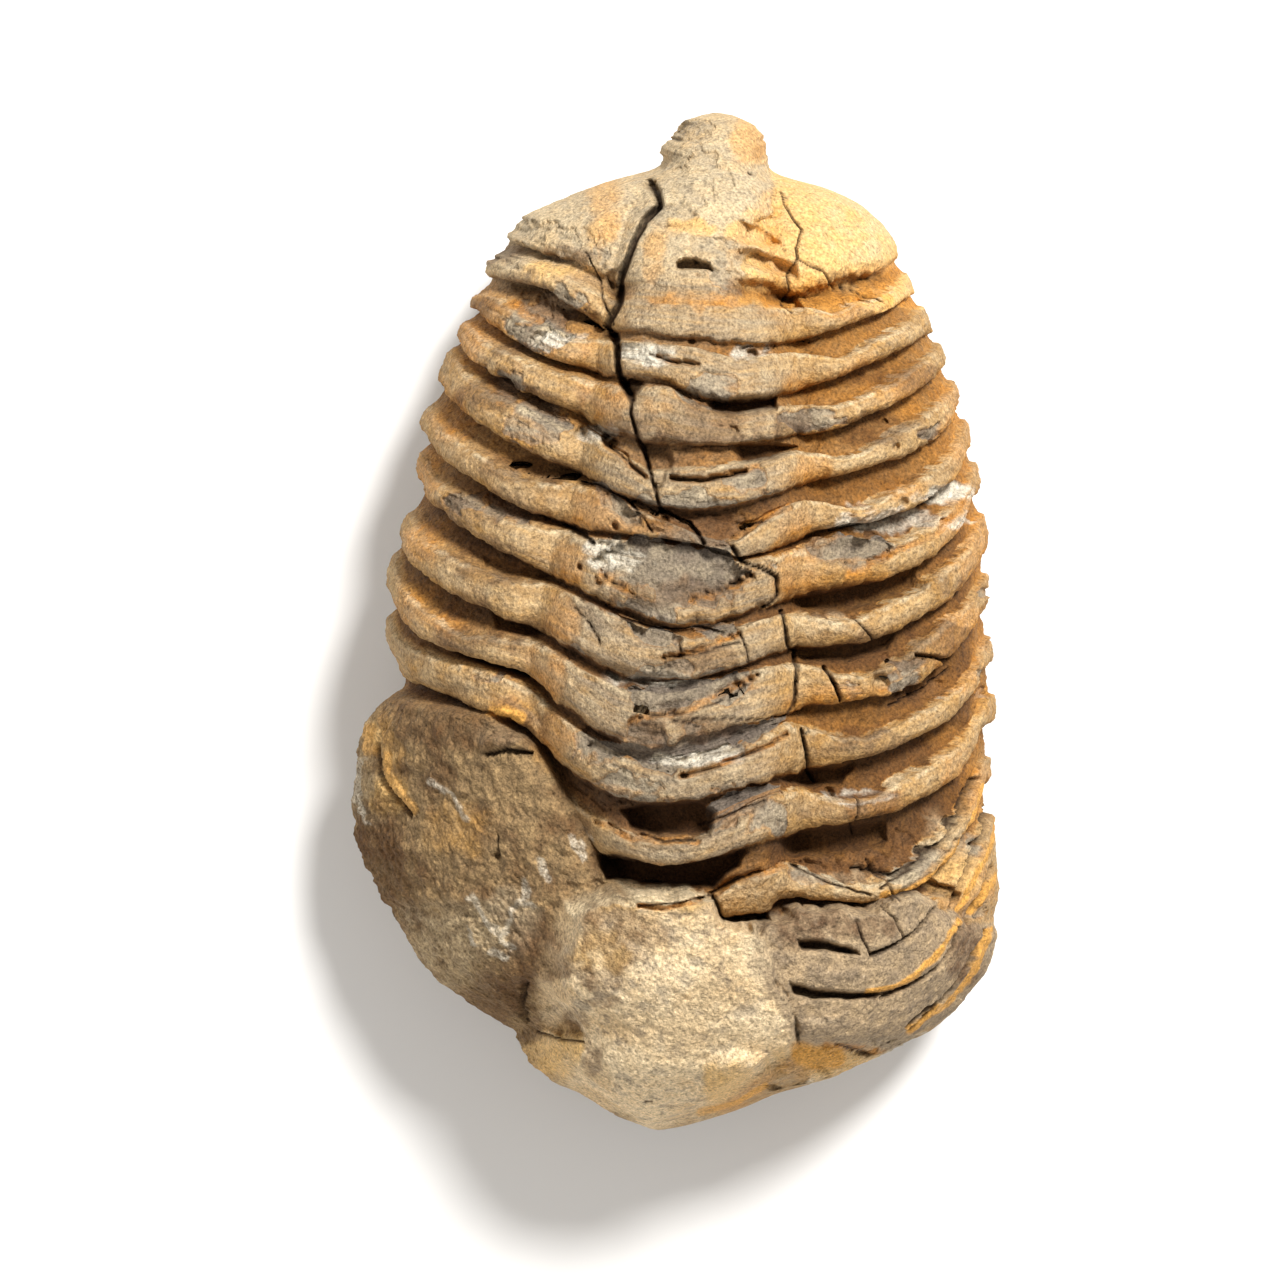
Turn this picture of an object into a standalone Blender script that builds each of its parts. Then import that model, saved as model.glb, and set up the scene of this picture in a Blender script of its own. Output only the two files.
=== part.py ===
"""Fossil trilobite: a large calymenid turned to stone, lying on its belly with its back up.

The stone is one piece. Its back has a raised axis between two furrows, eleven open ribs that
sweep back to the tail at both sides, a smooth tail shield with a worn stub, and at the head a
block over the glabella, a broken cheek on one side and a lump of matrix on the other.
+Z is up, +Y points to the tail and +X to the broken cheek. Run it in Blender's text editor, or
with blender --background --python part.py.
"""

import math

import bmesh
import bpy
import numpy as np
from mathutils import Vector, noise

NAME = "trilobite"

# Driving dimensions, in metres.
LENGTH = 0.1018
AXIS_RISE = 0.0056
FURROW_DEPTH = 0.0014
RIB_DEPTH = 0.0030
BLOCK_RISE = 0.0055
CHEEK_RISE = 0.0040
GAP_DEPTH = 0.0045
RIM_LEVEL = 0.015
ROUGHNESS_HEIGHT = 0.0005
BELLY_LUMPS = 0.0012
LUMP_SIZE = 0.011
VIEW_DISTANCE = 0.450

# The outline and the ribs are traced from straight above, from VIEW_DISTANCE over the rim. The
# tracing is in picture points, x to the right and y from the tail down to the head, and a height
# beside a y is in metres over the resting face.
TAIL_Y, HEAD_Y = 110, 1128
EYE = np.array((640.0, 640.0))
MIDDLE = np.array((676.0, 621.5))
POINT = LENGTH / (HEAD_Y - TAIL_Y)

# Rims of the stone: (y, x).
LEFT_RIM = (
    (110, 714), (114, 697), (122, 682), (135, 672), (150, 667), (164, 664), (172, 652), (179, 618),
    (190, 580), (204, 545), (212, 523), (235, 500), (255, 489), (290, 474), (320, 461), (350, 447),
    (380, 436), (410, 424), (440, 418), (480, 417), (510, 408), (545, 392), (575, 388), (610, 385),
    (640, 386), (665, 391), (688, 393), (705, 379), (722, 366), (750, 360), (800, 356), (850, 361),
    (900, 381), (950, 411), (980, 437), (1000, 462), (1018, 492), (1030, 518), (1045, 526),
    (1062, 533), (1080, 552), (1096, 584), (1110, 606), (1120, 627), (1128, 652),
)
RIGHT_RIM = (
    (110, 716), (114, 733), (122, 750), (135, 762), (150, 766), (166, 768), (174, 778), (180, 796),
    (190, 828), (205, 858), (225, 882), (245, 897), (265, 902), (285, 914), (310, 928), (340, 943),
    (370, 952), (400, 961), (430, 969), (465, 977), (500, 981), (540, 988), (580, 989), (620, 991),
    (660, 994), (700, 995), (740, 991), (780, 990), (820, 994), (870, 998), (895, 998), (915, 992),
    (935, 996), (960, 990), (985, 976), (1010, 956), (1035, 927), (1050, 897), (1065, 862),
    (1080, 826), (1092, 775), (1104, 748), (1114, 715), (1123, 684), (1128, 653),
)
# Furrows on both sides of the axis: (y, x).
LEFT_FURROW = (
    (110, 664), (170, 652), (215, 628), (260, 614), (300, 606), (350, 598), (400, 590), (450, 580),
    (500, 568), (550, 551), (600, 539), (650, 529), (700, 533), (750, 548), (800, 572), (850, 596),
    (900, 602), (1128, 600),
)
RIGHT_FURROW = (
    (110, 768), (170, 772), (220, 770), (260, 778), (300, 790), (350, 800), (400, 804), (450, 812),
    (500, 818), (550, 806), (600, 800), (650, 799), (700, 800), (750, 805), (800, 803), (850, 796),
    (900, 786), (1128, 780),
)
# Heights of the arch along the middle of the back and of the rims: (y, height).
BACK = (
    (110, 0.0145), (116, 0.0185), (128, 0.0218), (150, 0.0245), (170, 0.0262), (185, 0.0285),
    (220, 0.0320), (260, 0.0345), (320, 0.0373), (400, 0.0398), (500, 0.0410), (620, 0.0411),
    (740, 0.0404), (850, 0.0388), (920, 0.0374), (980, 0.0355), (1030, 0.0320), (1070, 0.0275),
    (1100, 0.0225), (1118, 0.0175), (1128, 0.0120),
)
RIM = (
    (110, 0.0145), (165, 0.0150), (190, 0.0135), (350, 0.0155), (600, 0.0160), (800, 0.0150),
    (950, 0.0140), (1128, 0.0120),
)
# How far the axis stands over the ribs beside it, as a share of AXIS_RISE: (y, share).
AXIS_SHARE = (
    (110, 0.0), (150, 0.2), (200, 0.6), (260, 0.8), (340, 0.95), (500, 1.0), (840, 1.0),
    (890, 0.8), (930, 0.2), (1000, 0.0), (1128, 0.0),
)
# The arch across the back is (1 - |u|^SPREAD)^FULLNESS, u being -1 and 1 at the rims. On the left
# it falls away more evenly where matrix covers the cheek: (y, value).
LEFT_SPREAD = ((660, 2.6), (800, 2.0), (1000, 2.1), (1128, 2.4))
LEFT_FULLNESS = ((660, 0.455), (800, 0.64), (1000, 0.55), (1128, 0.5))
RIGHT_SPREAD, RIGHT_FULLNESS = 2.7, 0.44
# How far the belly sinks under the rim before it is cut flat: (y, share of the rim's height).
BELLY_SINK = (
    (110, 0.0), (118, 0.35), (150, 0.55), (180, 0.75), (240, 1.12), (700, 1.25), (1040, 1.12),
    (1100, 0.7), (1122, 0.35), (1128, 0.0),
)
BELLY_TUCK = 0.20
BELLY_ROUND = 0.75
# How much shallower the grooves are at the rims, and how soon they end under them.
RIM_FADE = 0.4
UNDER_FADE = 0.22

# Upper edges of the ribs, tail first: (x, y) from the left rim to the right rim.
RIB_EDGES = (
    ((486, 250), (530, 262), (560, 270), (590, 285), (615, 298), (650, 302), (700, 303), (750, 306),
     (785, 308), (803, 306), (838, 314), (855, 303), (880, 296), (902, 284), (913, 271)),
    ((466, 292), (484, 293), (505, 303), (530, 320), (570, 335), (600, 338), (650, 342), (700, 347),
     (740, 357), (770, 352), (800, 351), (820, 354), (840, 357), (860, 350), (880, 339), (900, 328),
     (920, 313), (936, 303)),
    ((454, 318), (465, 327), (480, 337), (520, 356), (555, 370), (590, 378), (620, 384), (668, 385),
     (700, 401), (740, 408), (770, 403), (800, 401), (840, 402), (860, 396), (880, 388), (900, 378),
     (920, 366), (940, 349), (951, 338)),
    ((441, 348), (455, 367), (480, 388), (520, 405), (560, 420), (590, 431), (620, 450), (650, 468),
     (700, 463), (740, 460), (770, 455), (790, 448), (812, 448), (840, 456), (862, 453), (880, 441),
     (900, 430), (920, 420), (940, 405), (957, 385), (965, 372)),
    ((422, 402), (436, 428), (470, 450), (500, 468), (530, 479), (575, 480), (610, 492), (640, 511),
     (670, 521), (705, 537), (735, 541), (760, 523), (780, 508), (800, 500), (820, 499), (840, 505),
     (862, 507), (890, 493), (910, 485), (930, 471), (950, 455), (965, 436), (976, 413)),
    ((415, 446), (426, 475), (450, 492), (490, 510), (540, 525), (570, 530), (600, 537), (640, 540),
     (690, 546), (735, 561), (780, 551), (805, 543), (830, 536), (860, 536), (890, 540), (912, 538),
     (935, 523), (955, 505), (970, 483), (984, 458)),
    ((401, 510), (412, 531), (430, 546), (470, 565), (500, 575), (540, 580), (560, 587), (600, 607),
     (640, 626), (690, 637), (740, 626), (785, 612), (805, 612), (830, 618), (852, 618), (870, 612),
     (890, 602), (915, 592), (935, 578), (955, 560), (975, 535), (990, 506)),
    ((387, 545), (396, 580), (412, 600), (432, 616), (460, 632), (520, 638), (545, 643), (580, 667),
     (620, 687), (660, 693), (690, 690), (740, 673), (790, 661), (815, 663), (840, 671), (870, 673),
     (905, 656), (930, 638), (945, 623), (960, 612), (975, 598), (992, 570)),
    ((380, 604), (390, 630), (405, 646), (440, 658), (480, 669), (520, 684), (545, 703), (580, 728),
     (620, 753), (650, 763), (690, 758), (740, 745), (790, 722), (820, 728), (840, 735), (870, 737),
     (890, 728), (910, 716), (935, 704), (960, 685), (980, 664), (995, 632)),
    ((386, 690), (450, 718), (490, 734), (530, 760), (570, 797), (600, 822), (640, 839), (690, 841),
     (715, 828), (740, 810), (770, 793), (800, 783), (820, 791), (850, 798), (880, 795), (900, 783),
     (930, 768), (955, 750), (975, 728), (996, 690)),
    ((357, 800), (500, 838), (560, 870), (600, 884), (660, 892), (712, 895), (740, 880), (785, 864),
     (800, 868), (820, 875), (850, 883), (880, 880), (900, 868), (925, 857), (945, 838), (960, 815),
     (975, 789), (993, 752)),
)
# Bottoms of the grooves, the first under the tail shield and the others under each rib.
GROOVES = (
    ((494, 238), (530, 252), (560, 258), (590, 270), (615, 284), (650, 288), (700, 290), (760, 293),
     (790, 298), (830, 288), (860, 280), (890, 275), (906, 262)),
    ((476, 276), (500, 280), (540, 285), (560, 300), (590, 318), (605, 330), (640, 333), (680, 338),
     (720, 343), (760, 346), (790, 344), (820, 334), (840, 329), (870, 319), (900, 307), (921, 295)),
    ((461, 306), (480, 325), (510, 340), (545, 358), (580, 368), (605, 375), (660, 381), (700, 396),
     (730, 401), (760, 400), (790, 391), (830, 380), (860, 368), (890, 358), (920, 345), (943, 332)),
    ((447, 338), (465, 362), (500, 384), (540, 400), (575, 411), (600, 428), (640, 440), (680, 444),
     (740, 443), (780, 438), (800, 432), (830, 428), (860, 420), (890, 408), (920, 395), (940, 382),
     (957, 365)),
    ((430, 384), (442, 403), (470, 425), (500, 444), (540, 458), (575, 470), (610, 490), (650, 505),
     (700, 512), (745, 506), (780, 495), (810, 483), (840, 474), (870, 466), (900, 459), (930, 449),
     (950, 435), (970, 406)),
    ((418, 430), (430, 455), (455, 475), (480, 490), (520, 509), (560, 522), (590, 531), (620, 534),
     (660, 537), (700, 542), (738, 557), (760, 553), (790, 545), (820, 530), (850, 522), (880, 520),
     (900, 514), (920, 506), (940, 497), (957, 482), (978, 448)),
    ((414, 485), (425, 505), (440, 520), (470, 540), (510, 560), (550, 579), (580, 592), (610, 607),
     (640, 620), (680, 629), (720, 622), (770, 608), (800, 598), (830, 592), (860, 588), (890, 582),
     (915, 570), (940, 555), (960, 538), (986, 492)),
    ((392, 536), (402, 560), (430, 588), (470, 609), (500, 621), (540, 632), (560, 645), (600, 669),
     (640, 682), (680, 682), (740, 668), (780, 655), (800, 648), (830, 645), (860, 642), (890, 637),
     (920, 625), (945, 612), (965, 595), (990, 552)),
    ((382, 592), (398, 626), (420, 640), (450, 652), (490, 664), (525, 675), (545, 695), (580, 720),
     (620, 745), (660, 756), (700, 746), (740, 732), (790, 716), (810, 707), (860, 700), (890, 697),
     (920, 685), (945, 672), (965, 650), (993, 610)),
    ((386, 655), (400, 684), (450, 704), (480, 714), (520, 727), (545, 750), (570, 774), (600, 792),
     (640, 804), (690, 805), (720, 798), (760, 786), (790, 777), (830, 766), (860, 760), (890, 752),
     (920, 742), (950, 725), (975, 700), (995, 662)),
    ((364, 735), (500, 800), (560, 830), (600, 858), (660, 867), (700, 862), (740, 850), (790, 838),
     (810, 828), (860, 820), (890, 815), (920, 807), (945, 795), (965, 778), (993, 722)),
    ((368, 868), (500, 880), (600, 905), (660, 912), (725, 920), (770, 918), (780, 906), (830, 902),
     (870, 900), (900, 893), (930, 884), (950, 870), (965, 850), (980, 815), (995, 782)),
)
# Height of a rib by phase: 0 is its upper edge, 1 the groove under it, 2 the next edge.
RIB_PROFILE = (
    (0.0, 0.78), (0.1, 0.96), (0.3, 1.0), (0.5, 0.88), (0.75, 0.46), (0.9, 0.08), (1.0, 0.0),
    (1.2, 0.10), (1.6, 0.30), (1.97, 0.40), (2.0, 0.78),
)
TAIL_PROFILE = ((0.0, 1.0), (0.85, 1.0), (0.95, 0.4), (1.0, 0.0))
HEAD_PROFILE = ((0.0, 0.0), (0.04, 0.2), (0.08, 1.0), (1.0, 1.0))
# How deep the grooves are on the axis, and how deep the first ones are: (y, share).
AXIS_GROOVES = 0.72
GROOVE_SHARE = ((250, 0.35), (300, 0.55), (350, 0.85), (420, 1.0), (900, 1.0))
SIDE_GROOVE_SHARE = ((230, 0.75), (300, 0.95), (340, 1.0))

# Upper side of the matrix lump: (x, y). Under it the ribs are buried.
LUMP_TOP = (
    (355, 700), (397, 692), (450, 699), (485, 706), (520, 730), (545, 752), (575, 800), (600, 850),
    (625, 884), (1000, 1128),
)
LUMP_EDGE = 16
LUMP_REACH = 640

# Blocks and hollows of the broken head, as (centre, half size, edge) in points.
BLOCK = ((652, 1002), (130, 124), 52)
BLOCK_SHOULDER = ((735, 1000), (66, 90), 46)
CHEEK = ((885, 975), (112, 84), 52)
CHEEK_KNOB = ((812, 1070), (44, 36))
LEFT_LOBE = ((560, 1062), (50, 46))
RIGHT_LOBE = ((738, 1076), (54, 46))
LOBE_RISE = 0.0022
LOBE_RECESS = ((565, 1015), (36, 30))
GAP = ((655, 876), (76, 20))
CHEEK_GAP = ((752, 903), (34, 22))
BROKEN_RIB = ((868, 655), (56, 30))
BROKEN_PLATE = ((880, 515), (88, 26))
RIB_HOLLOW = ((540, 464), (48, 17))
HOLLOW_DEPTH = 0.0018

# Rows of the mesh: y at the middle of the tail and of the head, and phases over one rib.
TAIL_ROWS = (112, 117, 126, 138, 152, 165, 173, 180, 190, 206, 228, 250, 272)
HEAD_ROWS = (916, 930, 952, 975, 998, 1020, 1040, 1058, 1074, 1088, 1101, 1113, 1123)
RIB_ROWS = (-0.08, 0.03, 0.32, 0.70, 1.0)
BACK_COLUMNS = 42
BELLY_COLUMNS = 14


def through(points, at):
    """Straight runs between (place, value) points, read at these places."""
    places, values = zip(*points)
    return np.interp(at, places, values)


def smooth(t):
    t = np.clip(t, 0, 1)
    return t * t * (3 - 2 * t)


def mound(x, y, centre, half):
    """1 at the centre, falling to 0 on the ellipse of this half size."""
    reach = ((x - centre[0]) / half[0]) ** 2 + ((y - centre[1]) / half[1]) ** 2
    return smooth(1 - reach)


def block(x, y, centre, half, edge):
    """1 on a rounded block, falling to 0 across its edge."""
    inside_x = (half[0] - np.abs(x - centre[0])) / edge
    inside_y = (half[1] - np.abs(y - centre[1])) / edge
    return smooth(np.minimum(inside_x, inside_y))


def line_y(line, u):
    """y of a traced line at u across the back, with its corners eased."""
    x, y = (np.array(values, float) for values in zip(*line))
    left, right = through(LEFT_RIM, y), through(RIGHT_RIM, y)
    places = np.clip((2 * x - left - right) / (right - left), -1, 1)
    order = np.argsort(places)
    shifts = np.linspace(-0.015, 0.015, 5)
    return sum(np.interp(u + shift, places[order], y[order]) for shift in shifts) / len(shifts)


def row_phases():
    """Places of the mesh's rows along the back: 0 the tail tip, 1 the first groove, and so on."""
    first, last = 1.0, 1.0 + 2 * len(RIB_EDGES)
    middle_groove, middle_gap = 290, 912
    rows = [0.0]
    rows += [(y - TAIL_Y) / (middle_groove - TAIL_Y) for y in TAIL_ROWS]
    rows.append(first)
    for edge in range(2, 2 + 2 * len(RIB_EDGES), 2):
        rows += [edge + phase for phase in RIB_ROWS]
    rows += [last + (y - middle_gap) / (HEAD_Y - middle_gap) for y in HEAD_ROWS]
    rows.append(last + 1)
    return np.array(rows)


def line_table(u):
    """y of every traced line at each u, tail tip first and head tip last."""
    table = [np.full_like(u, TAIL_Y), line_y(GROOVES[0], u)]
    for edge, groove in zip(RIB_EDGES, GROOVES[1:]):
        table += [line_y(edge, u), line_y(groove, u)]
    table.append(np.full_like(u, HEAD_Y))
    return np.maximum.accumulate(np.array(table), axis=0)


def along(table, phase):
    """y at each phase between the lines of the table."""
    line = np.clip(phase.astype(int), 0, len(table) - 2)
    column = np.arange(table.shape[1])
    return table[line, column] + (phase - line) * (table[line + 1, column] - table[line, column])


def axis_place(x, y):
    """0 in the left furrow, 1 in the right one."""
    left, right = through(LEFT_FURROW, y), through(RIGHT_FURROW, y)
    return (x - left) / (right - left)


def buried(x, y):
    """1 where the lump of matrix covers the ribs."""
    below = smooth((y - through(LUMP_TOP, x)) / LUMP_EDGE)
    return below * smooth((LUMP_REACH - x) / LUMP_EDGE)


def rib_relief(x, y, phase):
    """Depth of the grooves under the ribs' crests, 0 to -1."""
    last = 1 + 2 * len(RIB_EDGES)
    relief = through(RIB_PROFILE, np.mod(phase, 2)) - 1
    relief = np.where(phase < 1, through(TAIL_PROFILE, phase) - 1, relief)
    relief = np.where(phase > last, through(HEAD_PROFILE, phase - last) - 1, relief)
    place = axis_place(x, y)
    on_axis = smooth(np.minimum(place, 1 - place) / 0.2)
    share = through(SIDE_GROOVE_SHARE, y) * (1 - on_axis)
    share += AXIS_GROOVES * through(GROOVE_SHARE, y) * on_axis
    return relief * share * (1 - buried(x, y))


def arch(u, y):
    """Height across the back, 1 in the middle and 0 at the rims."""
    spread = np.where(u < 0, through(LEFT_SPREAD, y), RIGHT_SPREAD)
    fullness = np.where(u < 0, through(LEFT_FULLNESS, y), RIGHT_FULLNESS)
    return (1 - np.abs(u) ** spread) ** fullness


def axis_rise(x, y):
    place = axis_place(x, y)
    crown = np.sin(math.pi * np.clip(place, 0, 1)) ** 0.8
    furrows = np.exp(-((place / 0.09) ** 2)) + np.exp(-(((place - 1) / 0.09) ** 2))
    return through(AXIS_SHARE, y) * (AXIS_RISE * crown - FURROW_DEPTH * furrows)


def broken_head(x, y):
    """Blocks, lobes and gaps of the broken parts, in metres over the arch."""
    height = BLOCK_RISE * np.maximum(block(x, y, *BLOCK), 0.7 * block(x, y, *BLOCK_SHOULDER))
    height += CHEEK_RISE * block(x, y, *CHEEK)
    for lobe in (LEFT_LOBE, RIGHT_LOBE, CHEEK_KNOB):
        height += LOBE_RISE * mound(x, y, *lobe)
    height -= LOBE_RISE * mound(x, y, *LOBE_RECESS)
    height -= GAP_DEPTH * np.maximum(mound(x, y, *GAP), 0.8 * mound(x, y, *CHEEK_GAP))
    for hollow in (BROKEN_RIB, BROKEN_PLATE, RIB_HOLLOW):
        height -= HOLLOW_DEPTH * mound(x, y, *hollow)
    return height


def back_points(u, y, phase):
    """x, y and height of points on the back, as seen from above, and how they lean outward."""
    left, right = through(LEFT_RIM, y), through(RIGHT_RIM, y)
    x = left + (u + 1) / 2 * (right - left)
    rim = through(RIM, y)
    height = rim + (through(BACK, y) - rim) * arch(u, y) + axis_rise(x, y)
    lean = u * np.abs(u) ** 1.5
    upright = np.sqrt(1 - lean**2)
    relief = RIB_DEPTH * rib_relief(x, y, phase) * (1 - RIM_FADE * smooth(np.abs(u) * 5 - 4))
    rise = broken_head(x, y) * upright
    return x + relief * lean / POINT, y, height + (relief + rise) * upright


def belly_points(u, y, turn, phase):
    """The same under the rims, where turn goes from 0 at the right rim to pi at the left."""
    left, right = through(LEFT_RIM, y), through(RIGHT_RIM, y)
    rim = through(RIM, y)
    depth = np.sin(turn) ** BELLY_ROUND
    tucked = u * (1 - BELLY_TUCK * np.sin(turn))
    x = left + (tucked + 1) / 2 * (right - left)
    fade = (1 - RIM_FADE) * np.exp(-np.sin(turn) / UNDER_FADE)
    relief = RIB_DEPTH * rib_relief(left + (u + 1) / 2 * (right - left), y, phase) * fade
    return x + relief * u / POINT, y, rim * (1 - through(BELLY_SINK, y) * depth)


def true_place(x, y, height):
    """From the picture's points to metres, allowing for what is nearer to the eye."""
    scale = 1 - np.maximum(height - RIM_LEVEL, 0) / VIEW_DISTANCE
    east = EYE[0] + (x - EYE[0]) * scale - MIDDLE[0]
    south = EYE[1] + (y - EYE[1]) * scale - MIDDLE[1]
    return np.stack((east * POINT, -south * POINT, height), axis=1)


def stone_lumps(point):
    """A slow seeded roughness of the whole stone, stronger on the belly."""
    size = ROUGHNESS_HEIGHT + BELLY_LUMPS * float(smooth((RIM_LEVEL - point[2]) / RIM_LEVEL * 2))
    return size * noise.noise(Vector(point) / LUMP_SIZE)


def shape_stone(mesh):
    """Moves the points of a sphere, whose poles are the tail and the head, to the stone's form."""
    columns = BACK_COLUMNS + BELLY_COLUMNS
    phases = row_phases()
    direction = np.array([vertex.co.normalized()[:] for vertex in mesh.verts])
    row = np.rint(np.arccos(np.clip(direction[:, 2], -1, 1)) / math.pi * (len(phases) - 1))
    column = np.rint(np.arctan2(direction[:, 1], direction[:, 0]) / (2 * math.pi) * columns)
    column = np.mod(column, columns)
    phase = phases[row.astype(int)]
    on_back = column <= BACK_COLUMNS
    back_turn = column / BACK_COLUMNS * math.pi
    belly_turn = np.clip((column - BACK_COLUMNS) / BELLY_COLUMNS * math.pi, 0, math.pi)
    u = np.where(on_back, -np.cos(back_turn), np.cos(belly_turn))
    ends = np.where(u < 0, -1.0, 1.0)
    back_y = along(line_table(u), phase)
    left_y, right_y = along(line_table(-np.abs(ends)), phase), along(line_table(np.abs(ends)), phase)
    belly_y = left_y + (u + 1) / 2 * (right_y - left_y)
    back = true_place(*back_points(u, back_y, phase))
    belly = true_place(*belly_points(u, belly_y, belly_turn, phase))
    places = np.where(on_back[:, None], back, belly)
    centre = places.mean(axis=0)
    for vertex, place in zip(mesh.verts, places):
        outward = (Vector(place) - Vector(centre)).normalized()
        vertex.co = Vector(place) + outward * stone_lumps(place)


def cut_flat(mesh):
    """Cuts the belly off at the resting face and closes it with one flat face."""
    everything = [*mesh.verts, *mesh.edges, *mesh.faces]
    cut = bmesh.ops.bisect_plane(
        mesh, geom=everything, plane_co=(0, 0, 0), plane_no=(0, 0, -1), clear_outer=True
    )
    rim = [item for item in cut["geom_cut"] if isinstance(item, bmesh.types.BMEdge)]
    bmesh.ops.holes_fill(mesh, edges=rim, sides=0)


def centre_on_origin(mesh):
    low = Vector([min(vertex.co[axis] for vertex in mesh.verts) for axis in range(3)])
    high = Vector([max(vertex.co[axis] for vertex in mesh.verts) for axis in range(3)])
    shift = (low + high) / 2
    shift.z = low.z
    bmesh.ops.translate(mesh, verts=mesh.verts, vec=-shift)


def stone_material():
    material = bpy.data.materials.new("ochre_limestone")
    material.use_nodes = True
    shader = material.node_tree.nodes["Principled BSDF"]
    shader.inputs["Base Color"].default_value = (0.48, 0.33, 0.17, 1.0)
    shader.inputs["Roughness"].default_value = 0.85
    shader.inputs["Metallic"].default_value = 0.0
    return material


def build_stone(collection):
    shape = bmesh.new()
    bmesh.ops.create_uvsphere(
        shape,
        u_segments=BACK_COLUMNS + BELLY_COLUMNS,
        v_segments=len(row_phases()) - 1,
        radius=1.0,
    )
    shape_stone(shape)
    cut_flat(shape)
    centre_on_origin(shape)
    bmesh.ops.recalc_face_normals(shape, faces=shape.faces)
    mesh = bpy.data.meshes.new(NAME)
    shape.to_mesh(mesh)
    shape.free()
    mesh.shade_smooth()
    mesh.materials.append(stone_material())
    collection.objects.link(bpy.data.objects.new(NAME, mesh))


def main():
    for old in list(bpy.data.objects):
        bpy.data.objects.remove(old, do_unlink=True)
    collection = bpy.data.collections.new("fossil_trilobite")
    bpy.context.scene.collection.children.link(collection)
    build_stone(collection)


main()
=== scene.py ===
"""Fossil trilobite: the weathered stone, a pale floor, soft studio light and the camera above.

The stone is one dense mesh in place of the plain solid. Its form is a sphere shaped by the traced
outline, arch and ribs. Geometry Nodes cut the ribs' grooves, the cracks, the pits and the grain
into it. Its masks go with the mesh as attributes, and the stone's material reads them.
"""

import math

import bpy
import numpy as np
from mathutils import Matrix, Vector, noise


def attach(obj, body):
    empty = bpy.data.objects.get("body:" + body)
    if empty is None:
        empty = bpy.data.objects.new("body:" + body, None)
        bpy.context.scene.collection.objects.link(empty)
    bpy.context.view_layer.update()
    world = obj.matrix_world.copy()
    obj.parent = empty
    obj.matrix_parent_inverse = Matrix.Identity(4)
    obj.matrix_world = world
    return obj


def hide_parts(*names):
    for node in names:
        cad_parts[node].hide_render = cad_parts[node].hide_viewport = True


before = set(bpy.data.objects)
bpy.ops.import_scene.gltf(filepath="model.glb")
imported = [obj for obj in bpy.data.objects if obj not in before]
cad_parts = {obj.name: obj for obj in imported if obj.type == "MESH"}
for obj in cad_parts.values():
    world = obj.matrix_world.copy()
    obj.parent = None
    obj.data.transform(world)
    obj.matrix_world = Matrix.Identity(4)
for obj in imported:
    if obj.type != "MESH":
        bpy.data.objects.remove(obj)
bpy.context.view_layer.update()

bl_info = {
    "name": "Fossil Trilobite",
    "version": (1, 0, 0),
    "blender": (4, 5, 0),
    "location": "View3D > Sidebar > Fossil",
    "description": "Builds a weathered fossil trilobite on a pale studio floor",
    "category": "Object",
}

NODE = "trilobite"

# The form is traced from straight above, from VIEW_DISTANCE over the rim, in picture points: x to
# the right and y from the tail down to the head. A height beside a y is in metres.
LENGTH = 0.1018
AXIS_RISE = 0.0056
FURROW_DEPTH = 0.0014
BLOCK_RISE = 0.0055
CHEEK_RISE = 0.0040
RIM_LEVEL = 0.015
ROUGHNESS_HEIGHT = 0.0005
BELLY_LUMPS = 0.0012
LUMP_SIZE = 0.011
VIEW_DISTANCE = 0.450
TAIL_Y, HEAD_Y = 110, 1128
EYE = np.array((640.0, 640.0))
MIDDLE = np.array((676.0, 621.5))
POINT = LENGTH / (HEAD_Y - TAIL_Y)
PICTURE = 1280

# Rims of the stone: (y, x).
LEFT_RIM = (
    (110, 714), (114, 697), (119, 684), (128, 674), (138, 670), (146, 661), (152, 659), (158, 664),
    (166, 663), (172, 652), (179, 618),
    (190, 580), (204, 545), (212, 523), (235, 500), (255, 489), (290, 474), (320, 461), (350, 447),
    (380, 436), (410, 424), (440, 418), (480, 417), (510, 408), (545, 392), (575, 388), (610, 385),
    (640, 386), (665, 391), (688, 393), (705, 379), (722, 366), (750, 360), (800, 356), (850, 361),
    (900, 381), (950, 411), (980, 437), (1000, 462), (1018, 492), (1030, 518), (1045, 526),
    (1062, 533), (1080, 552), (1096, 584), (1110, 606), (1120, 627), (1128, 652),
)
RIGHT_RIM = (
    (110, 716), (114, 733), (122, 750), (135, 762), (150, 766), (166, 768), (174, 778), (180, 796),
    (190, 828), (205, 858), (225, 882), (245, 897), (265, 902), (285, 914), (310, 928), (340, 943),
    (370, 952), (400, 961), (430, 969), (465, 977), (500, 981), (540, 988), (580, 989), (620, 991),
    (660, 994), (700, 995), (740, 991), (780, 990), (820, 994), (870, 998), (895, 998), (915, 992),
    (935, 996), (960, 990), (985, 976), (1010, 956), (1035, 927), (1050, 897), (1065, 862),
    (1080, 826), (1092, 775), (1104, 748), (1114, 715), (1123, 684), (1128, 653),
)
# Furrows on both sides of the axis: (y, x).
LEFT_FURROW = (
    (110, 664), (170, 652), (215, 628), (260, 614), (300, 606), (350, 598), (400, 590), (450, 580),
    (500, 568), (550, 551), (600, 539), (650, 529), (700, 533), (750, 548), (800, 572), (850, 596),
    (900, 602), (1128, 600),
)
RIGHT_FURROW = (
    (110, 768), (170, 772), (220, 770), (260, 778), (300, 790), (350, 800), (400, 804), (450, 812),
    (500, 818), (550, 806), (600, 800), (650, 799), (700, 800), (750, 805), (800, 803), (850, 796),
    (900, 786), (1128, 780),
)
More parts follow.
